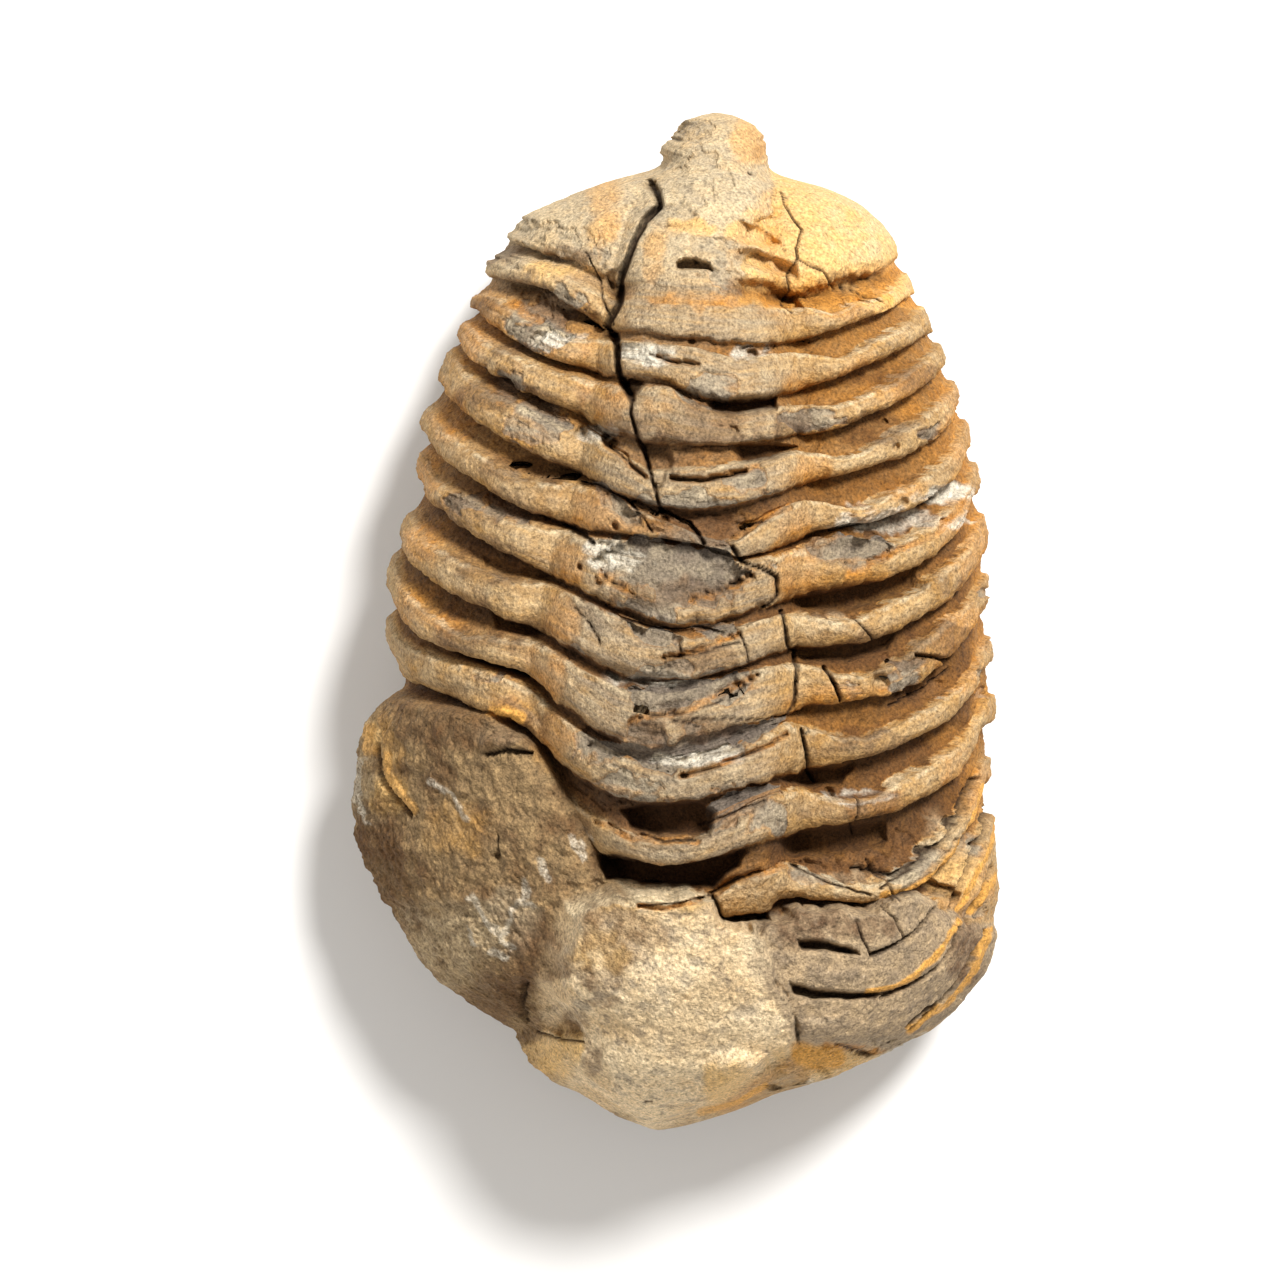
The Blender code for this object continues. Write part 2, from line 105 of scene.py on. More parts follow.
# Heights of the arch along the middle of the back and of the rims: (y, height).
BACK = (
    (110, 0.0145), (116, 0.0185), (128, 0.0218), (150, 0.0245), (170, 0.0262), (185, 0.0285),
    (220, 0.0320), (260, 0.0345), (320, 0.0373), (400, 0.0398), (500, 0.0410), (620, 0.0411),
    (740, 0.0404), (850, 0.0388), (920, 0.0374), (980, 0.0362), (1030, 0.0337), (1070, 0.0300),
    (1100, 0.0248), (1118, 0.0182), (1128, 0.0120),
)
RIM = (
    (110, 0.0145), (165, 0.0150), (190, 0.0135), (350, 0.0155), (600, 0.0160), (800, 0.0150),
    (950, 0.0140), (1128, 0.0120),
)
# How far the axis stands over the ribs beside it, as a share of AXIS_RISE: (y, share).
AXIS_SHARE = (
    (110, 0.0), (150, 0.2), (200, 0.6), (260, 0.8), (340, 0.95), (500, 1.0), (840, 1.0),
    (868, 0.8), (890, 0.35), (915, 0.1), (1000, 0.0), (1128, 0.0),
)
# The arch across the back is (1 - |u|^SPREAD)^FULLNESS, u being -1 and 1 at the rims: (y, value).
LEFT_SPREAD = ((660, 2.6), (800, 2.0), (1000, 2.1), (1128, 2.4))
LEFT_FULLNESS = ((660, 0.455), (800, 0.64), (1000, 0.55), (1128, 0.5))
RIGHT_SPREAD, RIGHT_FULLNESS = 2.7, 0.44
# How far the belly sinks under the rim before it is cut flat: (y, share of the rim's height).
BELLY_SINK = (
    (110, 0.0), (118, 0.35), (150, 0.55), (180, 0.75), (240, 1.12), (700, 1.25), (1040, 1.12),
    (1100, 0.7), (1122, 0.35), (1128, 0.0),
)
BELLY_TUCK = 0.20
BELLY_ROUND = 0.75
LEFT_RIM_FADE = 0.5
RIGHT_RIM_FADE = 0.68
UNDER_FADE = 0.22

# Upper edges of the ribs, tail first: (x, y) from the left rim to the right rim.
RIB_EDGES = (
    ((486, 250), (530, 262), (560, 270), (590, 285), (615, 298), (650, 302), (700, 303), (750, 306),
     (785, 308), (803, 306), (838, 314), (855, 303), (880, 296), (902, 284), (913, 271)),
    ((466, 292), (484, 293), (505, 303), (530, 320), (570, 335), (600, 338), (650, 342), (700, 347),
     (740, 357), (770, 352), (800, 351), (820, 354), (840, 357), (860, 350), (880, 339), (900, 328),
     (920, 313), (936, 303)),
    ((454, 318), (465, 327), (480, 337), (520, 356), (555, 370), (590, 378), (620, 384), (668, 385),
     (700, 401), (740, 408), (770, 403), (800, 401), (840, 402), (860, 396), (880, 388), (900, 378),
     (920, 366), (940, 349), (951, 338)),
    ((441, 348), (455, 367), (480, 388), (520, 405), (560, 420), (590, 431), (620, 450), (650, 468),
     (700, 463), (740, 460), (770, 455), (790, 448), (812, 448), (840, 456), (862, 453), (880, 441),
     (900, 430), (920, 420), (940, 405), (957, 385), (965, 372)),
    ((422, 402), (436, 428), (470, 450), (500, 468), (530, 479), (575, 480), (610, 492), (640, 511),
     (670, 521), (705, 537), (735, 541), (760, 523), (780, 508), (800, 500), (820, 499), (840, 505),
     (862, 507), (890, 493), (910, 485), (930, 471), (950, 455), (965, 436), (976, 413)),
    ((415, 446), (426, 475), (450, 492), (490, 510), (540, 525), (570, 530), (600, 537), (640, 540),
     (690, 546), (735, 561), (780, 551), (805, 543), (830, 536), (860, 536), (890, 540), (912, 538),
     (935, 523), (955, 505), (970, 483), (984, 458)),
    ((401, 510), (412, 531), (430, 546), (470, 565), (500, 575), (540, 580), (560, 587), (600, 607),
     (640, 626), (690, 637), (740, 626), (785, 612), (805, 612), (830, 618), (852, 618), (870, 612),
     (890, 602), (915, 592), (935, 578), (955, 560), (975, 535), (990, 506)),
    ((387, 545), (396, 580), (412, 600), (432, 616), (460, 632), (520, 638), (545, 643), (580, 667),
     (620, 687), (660, 693), (690, 690), (740, 673), (790, 661), (815, 663), (840, 671), (870, 673),
     (905, 656), (930, 638), (945, 623), (960, 612), (975, 598), (992, 570)),
    ((380, 604), (390, 630), (405, 646), (440, 658), (480, 669), (520, 684), (545, 703), (580, 728),
     (620, 753), (650, 763), (690, 758), (740, 745), (790, 722), (820, 728), (840, 735), (870, 737),
     (890, 728), (910, 716), (935, 704), (960, 685), (980, 664), (995, 632)),
    ((386, 690), (450, 718), (490, 734), (530, 760), (570, 797), (600, 822), (640, 839), (690, 841),
     (715, 828), (740, 810), (770, 793), (800, 783), (820, 791), (850, 798), (880, 795), (900, 783),
     (930, 768), (955, 750), (975, 728), (996, 690)),
    ((357, 800), (500, 838), (560, 870), (600, 884), (660, 892), (712, 895), (740, 880), (785, 864),
     (800, 868), (820, 875), (850, 883), (880, 880), (900, 868), (925, 857), (945, 838), (960, 815),
     (975, 789), (993, 752)),
)
# Bottoms of the grooves, the first under the tail shield and the others under each rib.
GROOVES = (
    ((494, 238), (530, 252), (560, 258), (590, 270), (615, 284), (650, 288), (700, 290), (760, 293),
     (790, 298), (830, 288), (860, 280), (890, 275), (906, 262)),
    ((476, 276), (500, 280), (540, 285), (560, 300), (590, 318), (605, 330), (640, 333), (680, 338),
     (720, 343), (760, 346), (790, 344), (820, 334), (840, 329), (870, 319), (900, 307), (921, 295)),
    ((461, 306), (480, 325), (510, 340), (545, 358), (580, 368), (605, 375), (660, 381), (700, 396),
     (730, 401), (760, 400), (790, 391), (830, 380), (860, 368), (890, 358), (920, 345), (943, 332)),
    ((447, 338), (465, 362), (500, 384), (540, 400), (575, 411), (600, 428), (640, 440), (680, 444),
     (740, 443), (780, 438), (800, 432), (830, 428), (860, 420), (890, 408), (920, 395), (940, 382),
     (957, 365)),
    ((430, 384), (442, 403), (470, 425), (500, 444), (540, 458), (575, 470), (610, 490), (650, 505),
     (700, 512), (745, 506), (780, 495), (810, 483), (840, 474), (870, 466), (900, 459), (930, 449),
     (950, 435), (970, 406)),
    ((418, 430), (430, 455), (455, 475), (480, 490), (520, 509), (560, 522), (590, 531), (620, 534),
     (660, 537), (700, 542), (738, 557), (760, 553), (790, 545), (820, 530), (850, 522), (880, 520),
     (900, 514), (920, 506), (940, 497), (957, 482), (978, 448)),
    ((414, 485), (425, 505), (440, 520), (470, 540), (510, 560), (550, 579), (580, 592), (610, 607),
     (640, 620), (680, 629), (720, 622), (770, 608), (800, 598), (830, 592), (860, 588), (890, 582),
     (915, 570), (940, 555), (960, 538), (986, 492)),
    ((392, 536), (402, 560), (430, 588), (470, 609), (500, 621), (540, 632), (560, 645), (600, 669),
     (640, 682), (680, 682), (740, 668), (780, 655), (800, 648), (830, 645), (860, 642), (890, 637),
     (920, 625), (945, 612), (965, 595), (990, 552)),
    ((382, 592), (398, 626), (420, 640), (450, 652), (490, 664), (525, 675), (545, 695), (580, 720),
     (620, 745), (660, 756), (700, 746), (740, 732), (790, 716), (810, 707), (860, 700), (890, 697),
     (920, 685), (945, 672), (965, 650), (993, 610)),
    ((386, 655), (400, 684), (450, 704), (480, 714), (520, 727), (545, 750), (570, 774), (600, 792),
     (640, 804), (690, 805), (720, 798), (760, 786), (790, 777), (830, 766), (860, 760), (890, 752),
     (920, 742), (950, 725), (975, 700), (995, 662)),
    ((364, 735), (500, 800), (560, 830), (600, 858), (660, 867), (700, 862), (740, 850), (790, 838),
     (810, 828), (860, 820), (890, 815), (920, 807), (945, 795), (965, 778), (993, 722)),
    ((368, 868), (500, 880), (600, 905), (660, 912), (725, 920), (770, 918), (780, 906), (830, 902),
     (870, 900), (900, 893), (930, 884), (950, 870), (965, 850), (980, 815), (995, 782)),
)
LAST_GROOVE = 1 + 2 * len(RIB_EDGES)
# Height of a rib by phase, as shares: 0 is its upper edge, 0.5 the groove under it, 1 the next
# edge. On the left it is a round roll, on the right a roll over a shelf, on the axis a broken plate.
LEFT_PROFILE = (
    (0.0, 0.66), (0.03, 0.84), (0.09, 0.95), (0.2, 1.0), (0.31, 0.95), (0.38, 0.82), (0.43, 0.55),
    (0.465, 0.14), (0.5, 0.0), (0.58, 0.03), (0.72, 0.14), (0.86, 0.32), (0.96, 0.52), (1.0, 0.66),
)
RIGHT_PROFILE = (
    (0.0, 0.60), (0.014, 0.88), (0.05, 0.93), (0.16, 1.0), (0.28, 0.96), (0.36, 0.84), (0.42, 0.58),
    (0.46, 0.12), (0.5, 0.0), (0.6, 0.03), (0.8, 0.12), (0.94, 0.22), (0.985, 0.27), (1.0, 0.60),
)
AXIS_PROFILE = (
    (0.0, 0.58), (0.02, 0.86), (0.08, 0.91), (0.18, 1.0), (0.35, 0.98), (0.43, 0.84), (0.465, 0.20),
    (0.5, 0.0), (0.64, 0.04), (0.82, 0.18), (0.95, 0.30), (0.985, 0.36), (1.0, 0.58),
)
# How far a rib's lower side hangs over its groove by phase, as a share of the overhang.
OVERHANG_PROFILE = (
    (0.0, 0.35), (0.1, 0.5), (0.3, 0.85), (0.4, 1.0), (0.47, 0.5), (0.52, 0.0), (0.95, 0.0),
    (1.0, 0.35),
)
# Where the tail shield and the head stand on that profile: (phase, place).
TAIL_PLACE = ((0.0, 0.32), (0.82, 0.32), (1.0, 1.0))
HEAD_PLACE = ((0.0, 1.0), (0.05, 1.9), (0.07, 2.1), (0.10, 2.32), (1.0, 2.32))
GROOVE_SHARE = ((250, 0.10), (300, 0.25), (345, 0.75), (420, 1.0), (900, 1.0))
SIDE_GROOVE_SHARE = ((230, 0.75), (300, 0.95), (340, 1.0))
# How strongly painted shade darkens the grooves, and dark grey the axis, from the tail to the head: (y, share).
GROOVE_SHADE_AND_AXIS_GREY = ((250, 0.35), (450, 0.45), (520, 0.80), (900, 0.90))
AXIS_GROOVES = 0.72

# Upper side of the matrix lump: (x, y). Under it the ribs are buried.
LUMP_TOP = (
    (355, 700), (397, 692), (450, 699), (485, 706), (520, 730), (545, 752), (575, 800), (600, 850),
    (625, 884), (1000, 1128),
)
LUMP_EDGE = 16
LUMP_REACH = 640

# Broken blocks of the head, traced: (x, y).
BLOCK = (
    (524, 1000), (535, 940), (556, 895), (598, 881), (630, 888), (660, 891), (713, 898), (722, 924),
    (762, 926), (772, 950), (780, 980), (796, 1005), (800, 1045), (772, 1063), (740, 1088),
    (700, 1110), (650, 1130), (600, 1122), (560, 1100), (525, 1050),
)
CHEEK = (
    (752, 930), (800, 908), (850, 904), (876, 902), (900, 890), (916, 886), (931, 892), (942, 907),
    (960, 916), (975, 923), (993, 927), (1003, 936), (1004, 955), (990, 980), (975, 994),
    (957, 1010), (930, 1030), (893, 1050), (840, 1054), (795, 1044), (775, 1000), (752, 965),
)
LEFT_LOBE = ((553, 1063), (44, 42))
RIGHT_LOBE = ((740, 1082), (46, 34))
CHEEK_KNOB = ((815, 1082), (22, 22))
LOBE_RISE = 0.0022
# Hollows and gaps, traced, with their depth in metres and how wide their walls are in points.
HOLLOWS = (
    (((598, 858), (612, 852), (660, 866), (705, 862), (748, 850), (740, 868), (712, 889), (660, 887),
      (606, 880)), 0.0055, 7),
    (((622, 812), (650, 806), (700, 806), (716, 815), (708, 836), (690, 838), (650, 836),
      (630, 830)), 0.0040, 7),
    (((723, 919), (768, 914), (772, 924), (726, 927)), 0.0030, 5),
    (((780, 836), (830, 826), (900, 826), (900, 842), (880, 850), (830, 856), (785, 856)), 0.0028, 9),
    (((798, 596), (850, 588), (935, 568), (925, 588), (885, 602), (852, 613), (806, 609)), 0.0024, 8),
    (((798, 650), (860, 645), (910, 632), (900, 650), (850, 662), (806, 660)), 0.0016, 9),
    (((478, 612), (510, 618), (540, 624), (546, 634), (520, 636), (485, 628)), 0.0014, 8),
    (((470, 556), (510, 566), (540, 574), (546, 582), (510, 580), (475, 570)), 0.0014, 8),
    (((783, 778), (830, 770), (865, 765), (850, 786), (800, 786)), 0.0022, 8),
    (((503, 460), (520, 454), (560, 462), (577, 470), (572, 478), (520, 479), (507, 472)), 0.0012, 9),
    (((733, 445), (780, 442), (800, 446), (770, 460), (740, 462)), 0.0036, 7),
    (((706, 396), (740, 393), (780, 392), (778, 406), (740, 412), (712, 408)), 0.0036, 7),
    (((495, 281), (515, 276), (538, 280), (540, 288), (500, 290)), 0.0018, 6),
    (((640, 440), (668, 442), (673, 462), (662, 481), (646, 470)), 0.0016, 5),
    (((545, 1003), (575, 1006), (584, 1036), (560, 1038), (540, 1026)), 0.0024, 10),
    (((800, 943), (822, 943), (837, 945), (858, 951), (860, 955), (838, 955), (802, 951)), 0.0022, 4),
    (((790, 985), (798, 986), (815, 990), (850, 993), (882, 994), (900, 988), (915, 981), (912, 986),
      (884, 998), (850, 1000), (815, 999), (792, 995)), 0.0024, 4),
    (((934, 881), (948, 878), (960, 889), (956, 898), (940, 895)), 0.0030, 5),
    (((678, 270), (677, 263), (684, 258), (697, 258), (709, 264), (712, 271), (700, 269), (688, 271)),
     0.0030, 3),
    (((620, 380), (632, 376), (646, 381), (640, 390), (634, 396), (626, 392)), 0.0032, 4),
    (((738, 247), (760, 245), (795, 262), (797, 272), (765, 268), (738, 262)), 0.0022, 9),
    (((736, 281), (765, 278), (800, 292), (800, 304), (765, 304), (736, 297)), 0.0025, 10),
    (((805, 296), (840, 286), (900, 268), (896, 276), (845, 298), (812, 303)), 0.0016, 6),
    (((500, 280), (540, 282), (544, 291), (505, 293)), 0.0012, 5),
    (((545, 304), (600, 312), (604, 322), (560, 320)), 0.0012, 5),
    (((604, 268), (622, 262), (618, 300), (610, 300)), 0.0012, 6),
    (((739, 218), (760, 222), (780, 238), (765, 244), (739, 237)), 0.0015, 8),
    (((790, 306), (800, 304), (806, 310), (796, 313)), 0.0016, 3),
    (((768, 1080), (790, 1072), (806, 1074), (800, 1084), (780, 1090)), 0.0018, 5),
    (((500, 985), (535, 975), (556, 1000), (540, 1030), (515, 1018)), 0.0016, 14),
)
# Sunken plates of bare stone between the rolls of the axis, traced.
PLATES = (
    ((621, 541), (639, 534), (669, 543), (708, 547), (726, 550), (741, 565), (753, 571), (732, 583),
     (696, 594), (660, 591), (627, 583), (600, 568), (594, 556)),
    ((591, 475), (612, 490), (639, 511), (639, 523), (624, 520), (606, 505), (589, 490)),
    ((686, 630), (714, 622), (739, 622), (739, 631), (714, 639), (696, 636)),
    ((627, 622), (658, 628), (686, 637), (683, 647), (649, 644), (633, 634)),
    ((627, 690), (664, 682), (696, 679), (739, 673), (739, 682), (714, 696), (689, 707), (643, 712),
     (627, 703)),
    ((649, 746), (680, 737), (714, 731), (789, 717), (789, 723), (758, 737), (727, 752), (686, 768),
     (671, 774), (643, 765), (602, 749), (580, 737), (608, 740)),
    ((714, 802), (742, 790), (780, 782), (780, 793), (758, 808), (727, 827), (711, 836), (702, 824)),
    ((806, 552), (815, 536), (850, 533), (885, 540), (897, 546), (880, 562), (850, 567), (825, 562)),
)
PLATE_DEPTH = 0.0012
RUST_DEPTH = 0.0008
# Round holes and pits: (x, y, radius, depth in metres).
PITS = (
    (880, 680, 12, 0.0020), (612, 440, 7, 0.0022), (604, 434, 6, 0.0022),
    (867, 301, 4, 0.0008), (917, 322, 4, 0.0010), (932, 385, 4, 0.0012), (942, 420, 4, 0.0012),
    (902, 420, 4, 0.0012), (919, 435, 3, 0.0008), (897, 443, 5, 0.0012), (950, 470, 6, 0.0012),
    (905, 498, 6, 0.0012), (615, 523, 5, 0.0014), (580, 563, 4, 0.0014), (598, 580, 5, 0.0016),
    (497, 855, 5, 0.0010), (980, 640, 8, 0.0020), (980, 727, 8, 0.0020), (485, 323, 7, 0.0014),
    (537, 332, 6, 0.0014), (460, 420, 5, 0.0012), (578, 428, 7, 0.0016), (473, 363, 4, 0.0010),
    (735, 425, 5, 0.0008), (683, 775, 5, 0.0012), (658, 482, 5, 0.0014), (620, 344, 5, 0.0012),
    (693, 341, 5, 0.0012), (800, 308, 7, 0.0016), (752, 352, 6, 0.0016), (835, 792, 7, 0.0014),
    (665, 518, 6, 0.0012), (612, 600, 4, 0.0010), (680, 654, 4, 0.0012),
)
# Raised lines and knobs: (half width in points, height in metres, route).
RIDGES = (
    (5, 0.0009, ((386, 756), (391, 775), (401, 792), (413, 807))),
    (3, 0.0005, ((428, 778), (450, 792), (468, 815), (482, 835))),
    (9, 0.0009, ((488, 743), (508, 741), (530, 744))), (17, 0.0060, ((544, 1048), (548, 1060), (558, 1080))),
    (10, 0.0009, ((486, 711), (505, 709), (520, 713))),
    (3, 0.0006, ((735, 284), (748, 293), (790, 300))),
    (3.5, 0.0005, ((911, 1031), (946, 1007), (974, 971), (989, 930))),
    (4, 0.0005, ((893, 988), (922, 970), (942, 946), (956, 922))),
    (5, 0.0007, ((505, 481), (540, 481), (575, 479))),
    (6, 0.0007, ((850, 560), (880, 552), (903, 543))),
)
# Bands where the shell shows in section, tan to orange: (half width in points, route).
SHELL_BANDS = (
    (3.4, ((868, 994), (893, 988), (915, 976), (934, 957), (948, 938), (957, 920))),
    (2.8, ((911, 1031), (930, 1016), (946, 1007), (960, 992), (974, 971), (983, 950), (990, 930))),
    (3.4, ((882, 890), (915, 882), (942, 867), (962, 842), (976, 814), (986, 785))),
    (3, ((957, 907), (971, 882), (984, 856), (993, 832), (1000, 808))),
    (2.5, ((974, 910), (986, 890), (996, 873))),
    (5, ((386, 756), (391, 775), (401, 792), (413, 807))), (5, ((371, 728), (371, 750))),
    (6, ((486, 711), (505, 709), (520, 713))),
    (3, ((700, 1110), (738, 1100), (765, 1082))), (9, ((800, 1051), (815, 1055), (836, 1054))),
)
# Pale scratches, as routes.
SCRATCHES = (
    ((527, 880), (526, 893), (516, 908), (507, 924), (503, 936)), ((478, 898), (488, 914), (500, 930)),
    ((503, 936), (512, 946)), ((470, 925), (476, 940)), ((428, 778), (450, 792), (468, 815)),
    ((572, 838), (580, 852)), ((540, 862), (548, 880)), ((365, 758), (363, 790), (366, 822)),
    ((575, 848), (585, 862)), ((496, 948), (506, 955)), ((520, 898), (532, 906)),
)
# The smooth shell on the right of the tail, and the bright strip over the block's face.
TAIL_SHELL = (
    (772, 150), (774, 200), (770, 213), (742, 221), (746, 240), (768, 240), (768, 248), (742, 251),
    (745, 276), (735, 283), (740, 302), (795, 312), (850, 310), (960, 300), (960, 150),
)
BLOCK_STRIP = (
    (556, 900), (566, 884), (598, 878), (640, 884), (712, 893), (716, 899), (690, 904), (660, 904),
    (640, 908), (600, 905), (575, 918),
)
# Cracks by width, as routes: (x, y).
WIDE_CRACKS = (
    ((648, 182), (657, 192), (660, 203), (645, 216), (634, 236), (627, 255), (620, 275), (619, 300),
     (606, 322), (616, 340)),
    ((616, 340), (617, 360), (622, 380), (631, 396)),
)
CRACKS = (
    ((631, 396), (630, 410), (636, 428), (643, 448), (650, 470), (656, 490), (662, 509), (690, 522),
     (704, 540)),
    ((733, 545), (741, 560), (765, 568), (777, 573), (779, 590), (765, 606)),
    ((784, 612), (788, 640), (797, 651), (798, 665), (796, 700), (787, 716)),
    ((803, 728), (806, 745), (812, 770), (820, 782)),
    ((486, 754), (505, 750), (530, 753)),
    ((872, 955), (890, 946), (903, 938), (918, 925), (933, 907)),
    ((882, 999), (912, 987), (937, 969), (952, 947), (959, 928)),
    ((908, 1028), (930, 1010), (945, 1001), (956, 986), (970, 966), (979, 948), (986, 930)),
    ((888, 895), (915, 889), (945, 877), (966, 855), (979, 826), (989, 796)),
    ((948, 905), (965, 876), (978, 850), (988, 824), (996, 800)),
    ((968, 918), (980, 895), (991, 866)),
    ((860, 868), (895, 872), (925, 860), (950, 836), (968, 806), (980, 778)),
    ((424, 640), (450, 655), (482, 666), (520, 676)),
    ((712, 896), (719, 908), (724, 922)),
    ((918, 653), (940, 654), (962, 657)), ((828, 668), (836, 682), (843, 695)),
    ((671, 476), (700, 479), (725, 476), (745, 470)),
    ((560, 524), (580, 532), (592, 540)),
    ((377, 745), (381, 770), (392, 794), (410, 814)), ((525, 984), (521, 1002), (524, 1020)),
)
HAIRLINES = (
    ((585, 248), (592, 262), (597, 280), (604, 300), (614, 320)),
    ((782, 190), (787, 205), (793, 214), (803, 226), (796, 244), (799, 256), (787, 271), (791, 284),
     (783, 304), (792, 312)),
    ((799, 256), (808, 262), (823, 269), (832, 279), (842, 286), (860, 288), (872, 294), (884, 300)),
    ((740, 630), (746, 645), (749, 662)), ((857, 618), (868, 628), (881, 636)),
    ((858, 797), (858, 815), (863, 836)), ((877, 860), (888, 878), (898, 897)),
    ((576, 479), (600, 484), (625, 497), (640, 512), (652, 528)), ((857, 920), (862, 937), (870, 953)),
    ((880, 903), (892, 914), (904, 937)), ((650, 352), (670, 360), (699, 362)),
    ((620, 618), (660, 628), (700, 626), (735, 636)), ((664, 656), (700, 651), (740, 640)),
    ((690, 596), (720, 588), (752, 574)), ((640, 713), (690, 711), (735, 694), (760, 672)),
    ((630, 721), (660, 721)), ((672, 718), (695, 721)), ((690, 716), (750, 717), (788, 716)),
    ((680, 776), (715, 767), (755, 752), (788, 733)), ((604, 440), (625, 456), (645, 474)),
    ((600, 570), (615, 580), (632, 589)), ((640, 835), (665, 842), (695, 840)),
    ((708, 897), (740, 880), (760, 872)), ((795, 865), (830, 882), (870, 890)),
    ((880, 884), (915, 866), (940, 848), (960, 822)), ((912, 1030), (936, 1010), (956, 988), (986, 930)),
    ((836, 1044), (870, 1052)), ((640, 905), (680, 902), (705, 898)),
    ((900, 705), (940, 690), (962, 668)),
    ((835, 530), (870, 523), (900, 518), (950, 498)), ((534, 1030), (546, 1036), (560, 1042), (583, 1044)), ((805, 735), (812, 729)),
    ((740, 528), (762, 521)), ((575, 605), (590, 622), (600, 640)), ((700, 828), (735, 813), (765, 800)),
    ((497, 836), (500, 855)), ((646, 1100), (652, 1101)), ((748, 172), (752, 175)),
)
SLOTS = (
    ((803, 947), (830, 948), (850, 953)),
    ((796, 990), (820, 995), (850, 997), (876, 997)),
)
# Where the shell's orange layer shows in section or has run out of a crack, as routes.
RUST_ROUTES = (
    ((658, 355), (680, 361), (698, 362)), ((672, 476), (705, 477), (735, 471), (758, 465)), ((597, 574), (612, 580), (630, 588)),
    ((690, 597), (720, 591), (753, 574)), ((664, 655), (700, 648), (739, 634)),
    ((632, 719), (643, 715), (690, 709), (739, 684), (758, 673)),
    ((680, 776), (715, 767), (755, 752), (788, 733)),
    ((604, 440), (625, 456), (645, 474)), ((600, 570), (615, 580), (634, 590)),
    ((596, 821), (633, 840), (696, 841)), ((708, 897), (740, 880), (785, 866)),
    ((826, 1045), (838, 1046), (882, 1050)),
    ((640, 906), (665, 908), (700, 900)), ((870, 562), (905, 545), (935, 533), (963, 500)),
    ((740, 528), (765, 518), (790, 506)), ((502, 300), (520, 312), (532, 318)),
)
# Patches where the shell is broken off and grey stone shows: (centre, half size).
GREY_PATCHES = (
    ((680, 568), (74, 34)), ((700, 525), (60, 14)), ((851, 549), (46, 17)), ((715, 630), (34, 12)),
    ((665, 672), (72, 12)), ((700, 690), (44, 14)), ((690, 742), (70, 16)), ((745, 812), (42, 20)),
    ((928, 678), (40, 20)), ((854, 688), (14, 12)), ((935, 852), (30, 22)), ((825, 868), (58, 12)), ((690, 500), (60, 14)),
    ((745, 483), (30, 14)), ((575, 660), (30, 20)), ((590, 745), (40, 20)), ((620, 790), (50, 20)),
    ((520, 420), (50, 22)), ((490, 370), (40, 20)), ((520, 510), (50, 14)), ((540, 330), (40, 18)),
    ((640, 610), (40, 16)), ((545, 232), (40, 16)), ((720, 385), (40, 14)), ((750, 790), (40, 10)),
    ((560, 295), (30, 16)), ((500, 222), (30, 14)), ((640, 150), (10, 24)), ((690, 130), (24, 12)),
    ((670, 215), (24, 12)), ((720, 280), (40, 10)), ((600, 245), (16, 12)), ((470, 505), (36, 14)), ((760, 345), (20, 8)), ((820, 415), (40, 10)),
    ((500, 676), (40, 10)), ((930, 430), (24, 8)), ((870, 866), (80, 16)), ((540, 308), (46, 18)),
    ((520, 245), (30, 22)), ((700, 170), (34, 22)), ((590, 225), (20, 12)), ((720, 250), (30, 16)),
    ((970, 870), (20, 46)), ((985, 640), (8, 60)), ((560, 430), (24, 12)),
)
# Patches of crushed white calcite: (centre, half size).
WHITE_PATCHES = (
    ((895, 518), (60, 11)), ((945, 492), (26, 9)), ((850, 518), (26, 8)), ((560, 337), (26, 6)),
    ((750, 350), (20, 8)), ((650, 350), (30, 9)), ((590, 428), (20, 9)), ((600, 545), (26, 8)),
    ((620, 560), (34, 10)), ((640, 680), (44, 8)), ((700, 760), (40, 8)), ((505, 915), (16, 30)),
    ((470, 925), (10, 14)), ((520, 885), (12, 14)), ((885, 1068), (70, 12)), ((380, 800), (16, 24)),
    ((860, 797), (40, 5)), ((905, 1045), (40, 10)), ((500, 942), (30, 12)),
    ((575, 845), (12, 16)), ((455, 792), (16, 6)), ((820, 1022), (20, 6)), ((640, 1120), (60, 10)), ((822, 1082), (18, 10)),
)
